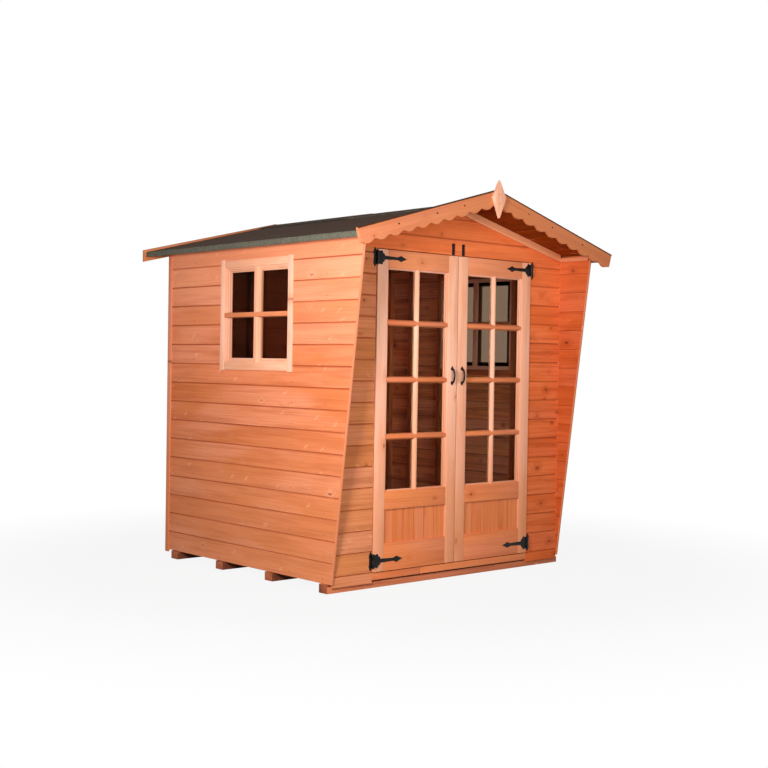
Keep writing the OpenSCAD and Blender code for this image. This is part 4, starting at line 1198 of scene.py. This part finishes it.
keeper = {"x": 40, "steps": 48, "waist": 6.0, "end": 4, "screws": (13, 33, 53),
          "lobes": [(10, 0, 11.5), (25.5, 0, 11), (41, 0, 11), (56, 0, 11.5)]}
keeperLow, keeperHigh = corners("door_keepers")
tall = keeperHigh[2] - keeperLow[2]
bm = bmesh.new()
for sign in (-1, 1):
    spine = []
    for i in range(keeper["steps"] + 1):
        h = tall * i / keeper["steps"]
        half = lobes(h, keeper["lobes"], keeper["waist"]) if 1 < h < tall - 1 else keeper["end"]
        spine.append((sign * keeper["x"], keeperLow[2] + h, half, 0))
    ironPlate(bm, symmetric(spine), keeperLow[1], keeperHigh[1] - bedded)
    screws += [((sign * keeper["x"], keeperLow[1] - 0.3, keeperLow[2] + h), (0, -1, 0)) for h in keeper["screws"]]
dress("doorKeepers", bm, iron, "ironmongery", "door_keepers", smooth=40)
nailsAt("wallScrews", screws, "ironmongery", 3.0, 1.2, iron)
print("ironmongery made")


nails = {
    "studs": (-653.5, -360.5, 317.5, 605.5, 825.5), "rear": (-880, -316, 316, 880), "front": (-880, -638, 638, 880),
    "radius": 3.0, "proud": 0.2, "bargeRadius": 5.5, "bargeDown": 36, "bargeShares": (0.265, 0.466, 0.736),
    "diamond": (18, -34), "clouts": 14, "cloutEnd": 60, "cloutIn": 14, "cloutRadius": 5.0,
}
rowUp = shiplap["nailUp"]
spots, bargeSpots = [], []
for sign in (-1, 1):
    for row in range(shiplap["rows"]):
        z = wallFoot + row * cover + rowUp
        for y in nails["studs"]:
            if not (windowLow[1] < y < windowHigh[1] and windowLow[2] - 4 < z < windowHigh[2] + 4):
                spots.append(((sign * (halfWidth + nails["proud"]), y, z), (sign, 0, 0)))
for count, foot, bottom, margin, places, y, facing in (
        (shiplap["rearRows"], wallFoot, 0, 15, nails["rear"], rearFace + nails["proud"], 1),
        (shiplap["frontRows"], frontStart, frontFoot + 8, 40, nails["front"], frontFace - nails["proud"], -1)):
    for row in range(count):
        z = foot + row * cover + rowUp
        spots += [((x, y, z), (0, facing, 0)) for x in places if bottom < z < soffit(x) - margin]
for sign in (-1, 1):
    for share in nails["bargeShares"]:
        s, t = bargeLength * share, nails["bargeDown"]
        bargeSpots.append(((sign * (s * bargeDown[0] - t * bargeDown[1]), bargeLow[1] - 0.3,
                            bargeTop - s * bargeDown[1] - t * bargeDown[0]), (0, -1, 0)))
spots += [((0, tipLow[1] - 0.3, waist + up), (0, -1, 0)) for up in nails["diamond"]]
nailsAt("wireNails", spots, "boards", nails["radius"], 1.0)
nailsAt("bargeScrews", bargeSpots, "ironmongery", nails["bargeRadius"], 1.5, iron)

spots = []
for sign in (-1, 1):
    for i in range(nails["clouts"]):
        y = roofFront + nails["cloutEnd"] + (roofRear - roofFront - 2 * nails["cloutEnd"]) * i / (nails["clouts"] - 1)
        spots.append(((sign * (eaveX + feltThick + 1.0), y, soffit(eaveX) + 4), (sign, 0, 0)))
        x = sign * (feltValues["ridgeReach"] - nails["cloutIn"]) * down[0]
        spots.append(((x, y, soffit(x) + (roofThick + 2 * feltThick + 3.2) * lean), (sign * nx, 0, nz)))
nailsAt("feltClouts", spots, "felt", nails["cloutRadius"], 1.2)
print("nails driven")


stage = {
    "cameraPlace": (-5.111, -5.812, 1.225), "cameraTarget": (0.162, 0.0835, 1.090), "cameraRoll": 0.90,
    "lens": 58.978125, "sensor": 36.0,
    "keyPower": 136, "keyPlace": (-3.35, -2.05, 1.7), "keySize": 0.6,
    "fillPower": 84, "fillPlace": (-0.8, -4.4, 1.75), "fillSize": 1.6, "lampTarget": (0, 0, 1.0),
    "skyLevel": 0.28, "floorNear": 0.9, "floorRadius": 14, "floorDrop": 0.001,
}


def aimed(place, target):
    place, target = Vector(place), Vector(target)
    return Matrix.Translation(place) @ (target - place).to_track_quat("-Z", "Y").to_matrix().to_4x4()


lens = bpy.data.cameras.new("camera")
lens.sensor_width, lens.lens = stage["sensor"], stage["lens"]
lens.clip_start, lens.clip_end = 0.1, 60
camera = addObject("camera", lens)
roll = Matrix.Rotation(math.radians(stage["cameraRoll"]), 4, "Z")
camera.matrix_world = aimed(stage["cameraPlace"], stage["cameraTarget"]) @ roll
scene.camera = camera
for name in ("key", "fill"):
    lamp = bpy.data.lights.new(name, "AREA")
    lamp.energy, lamp.size = stage[name + "Power"], stage[name + "Size"]
    addObject(name, lamp).matrix_world = aimed(stage[name + "Place"], stage["lampTarget"])


def seenDirectly(add):
    # 1 for what the camera sees, straight, mirrored or through glass, and 0 for the light that falls on things
    rays = add("ShaderNodeLightPath")
    seen = rays["Is Camera Ray"]
    for ray in ("Is Glossy Ray", "Is Transmission Ray"):
        seen = add("ShaderNodeMath", (seen, rays[ray]), operation="MAXIMUM")[0]
    return seen


world = bpy.data.worlds.new("studio")
scene.world = world
world.use_nodes = True
world.node_tree.nodes.clear()
add = partial(addNode, world.node_tree)
strength = add("ShaderNodeMapRange", (seenDirectly(add), 0, 1, stage["skyLevel"], 1.0), **eased)[0]
backdrop = add("ShaderNodeBackground", {"Color": (1, 1, 1, 1), "Strength": strength})
add("ShaderNodeOutputWorld", [backdrop[0]])

# a pale painted studio floor that turns white away from the object and keeps its shadow
material, add = newMaterial("paleStudioFloor")
place = add("ShaderNodeTexCoord")["Object"]
mottle = stretchedNoise(add, place, (1, 1, 1), 2)
tone = add("ShaderNodeMix", {0: mottle, 6: "#787876", 7: "#80807e"}, **rgba)[2]
paint = add("ShaderNodeBsdfPrincipled", {"Base Color": tone, "Roughness": 0.9})[0]
away = add("ShaderNodeVectorMath", [place], operation="LENGTH")["Value"]
away = add("ShaderNodeMapRange", (away, 1.6, 3.6, stage["floorNear"], 1.0), **eased)[0]
share = add("ShaderNodeMath", (away, seenDirectly(add)), operation="MULTIPLY")[0]
glow = add("ShaderNodeEmission", {"Color": (1, 1, 1, 1), "Strength": 1.0})[0]
add("ShaderNodeOutputMaterial", [add("ShaderNodeMixShader", (share, paint, glow))[0]])
bm = bmesh.new()
bmesh.ops.create_circle(bm, cap_ends=True, segments=96, radius=stage["floorRadius"])
bmesh.ops.translate(bm, verts=bm.verts, vec=(0, 0, -stage["floorDrop"]))
addObject("studioFloor", meshFrom(bm, "studioFloor"), material)

scene.view_settings.view_transform = "Standard"
print("stage set")
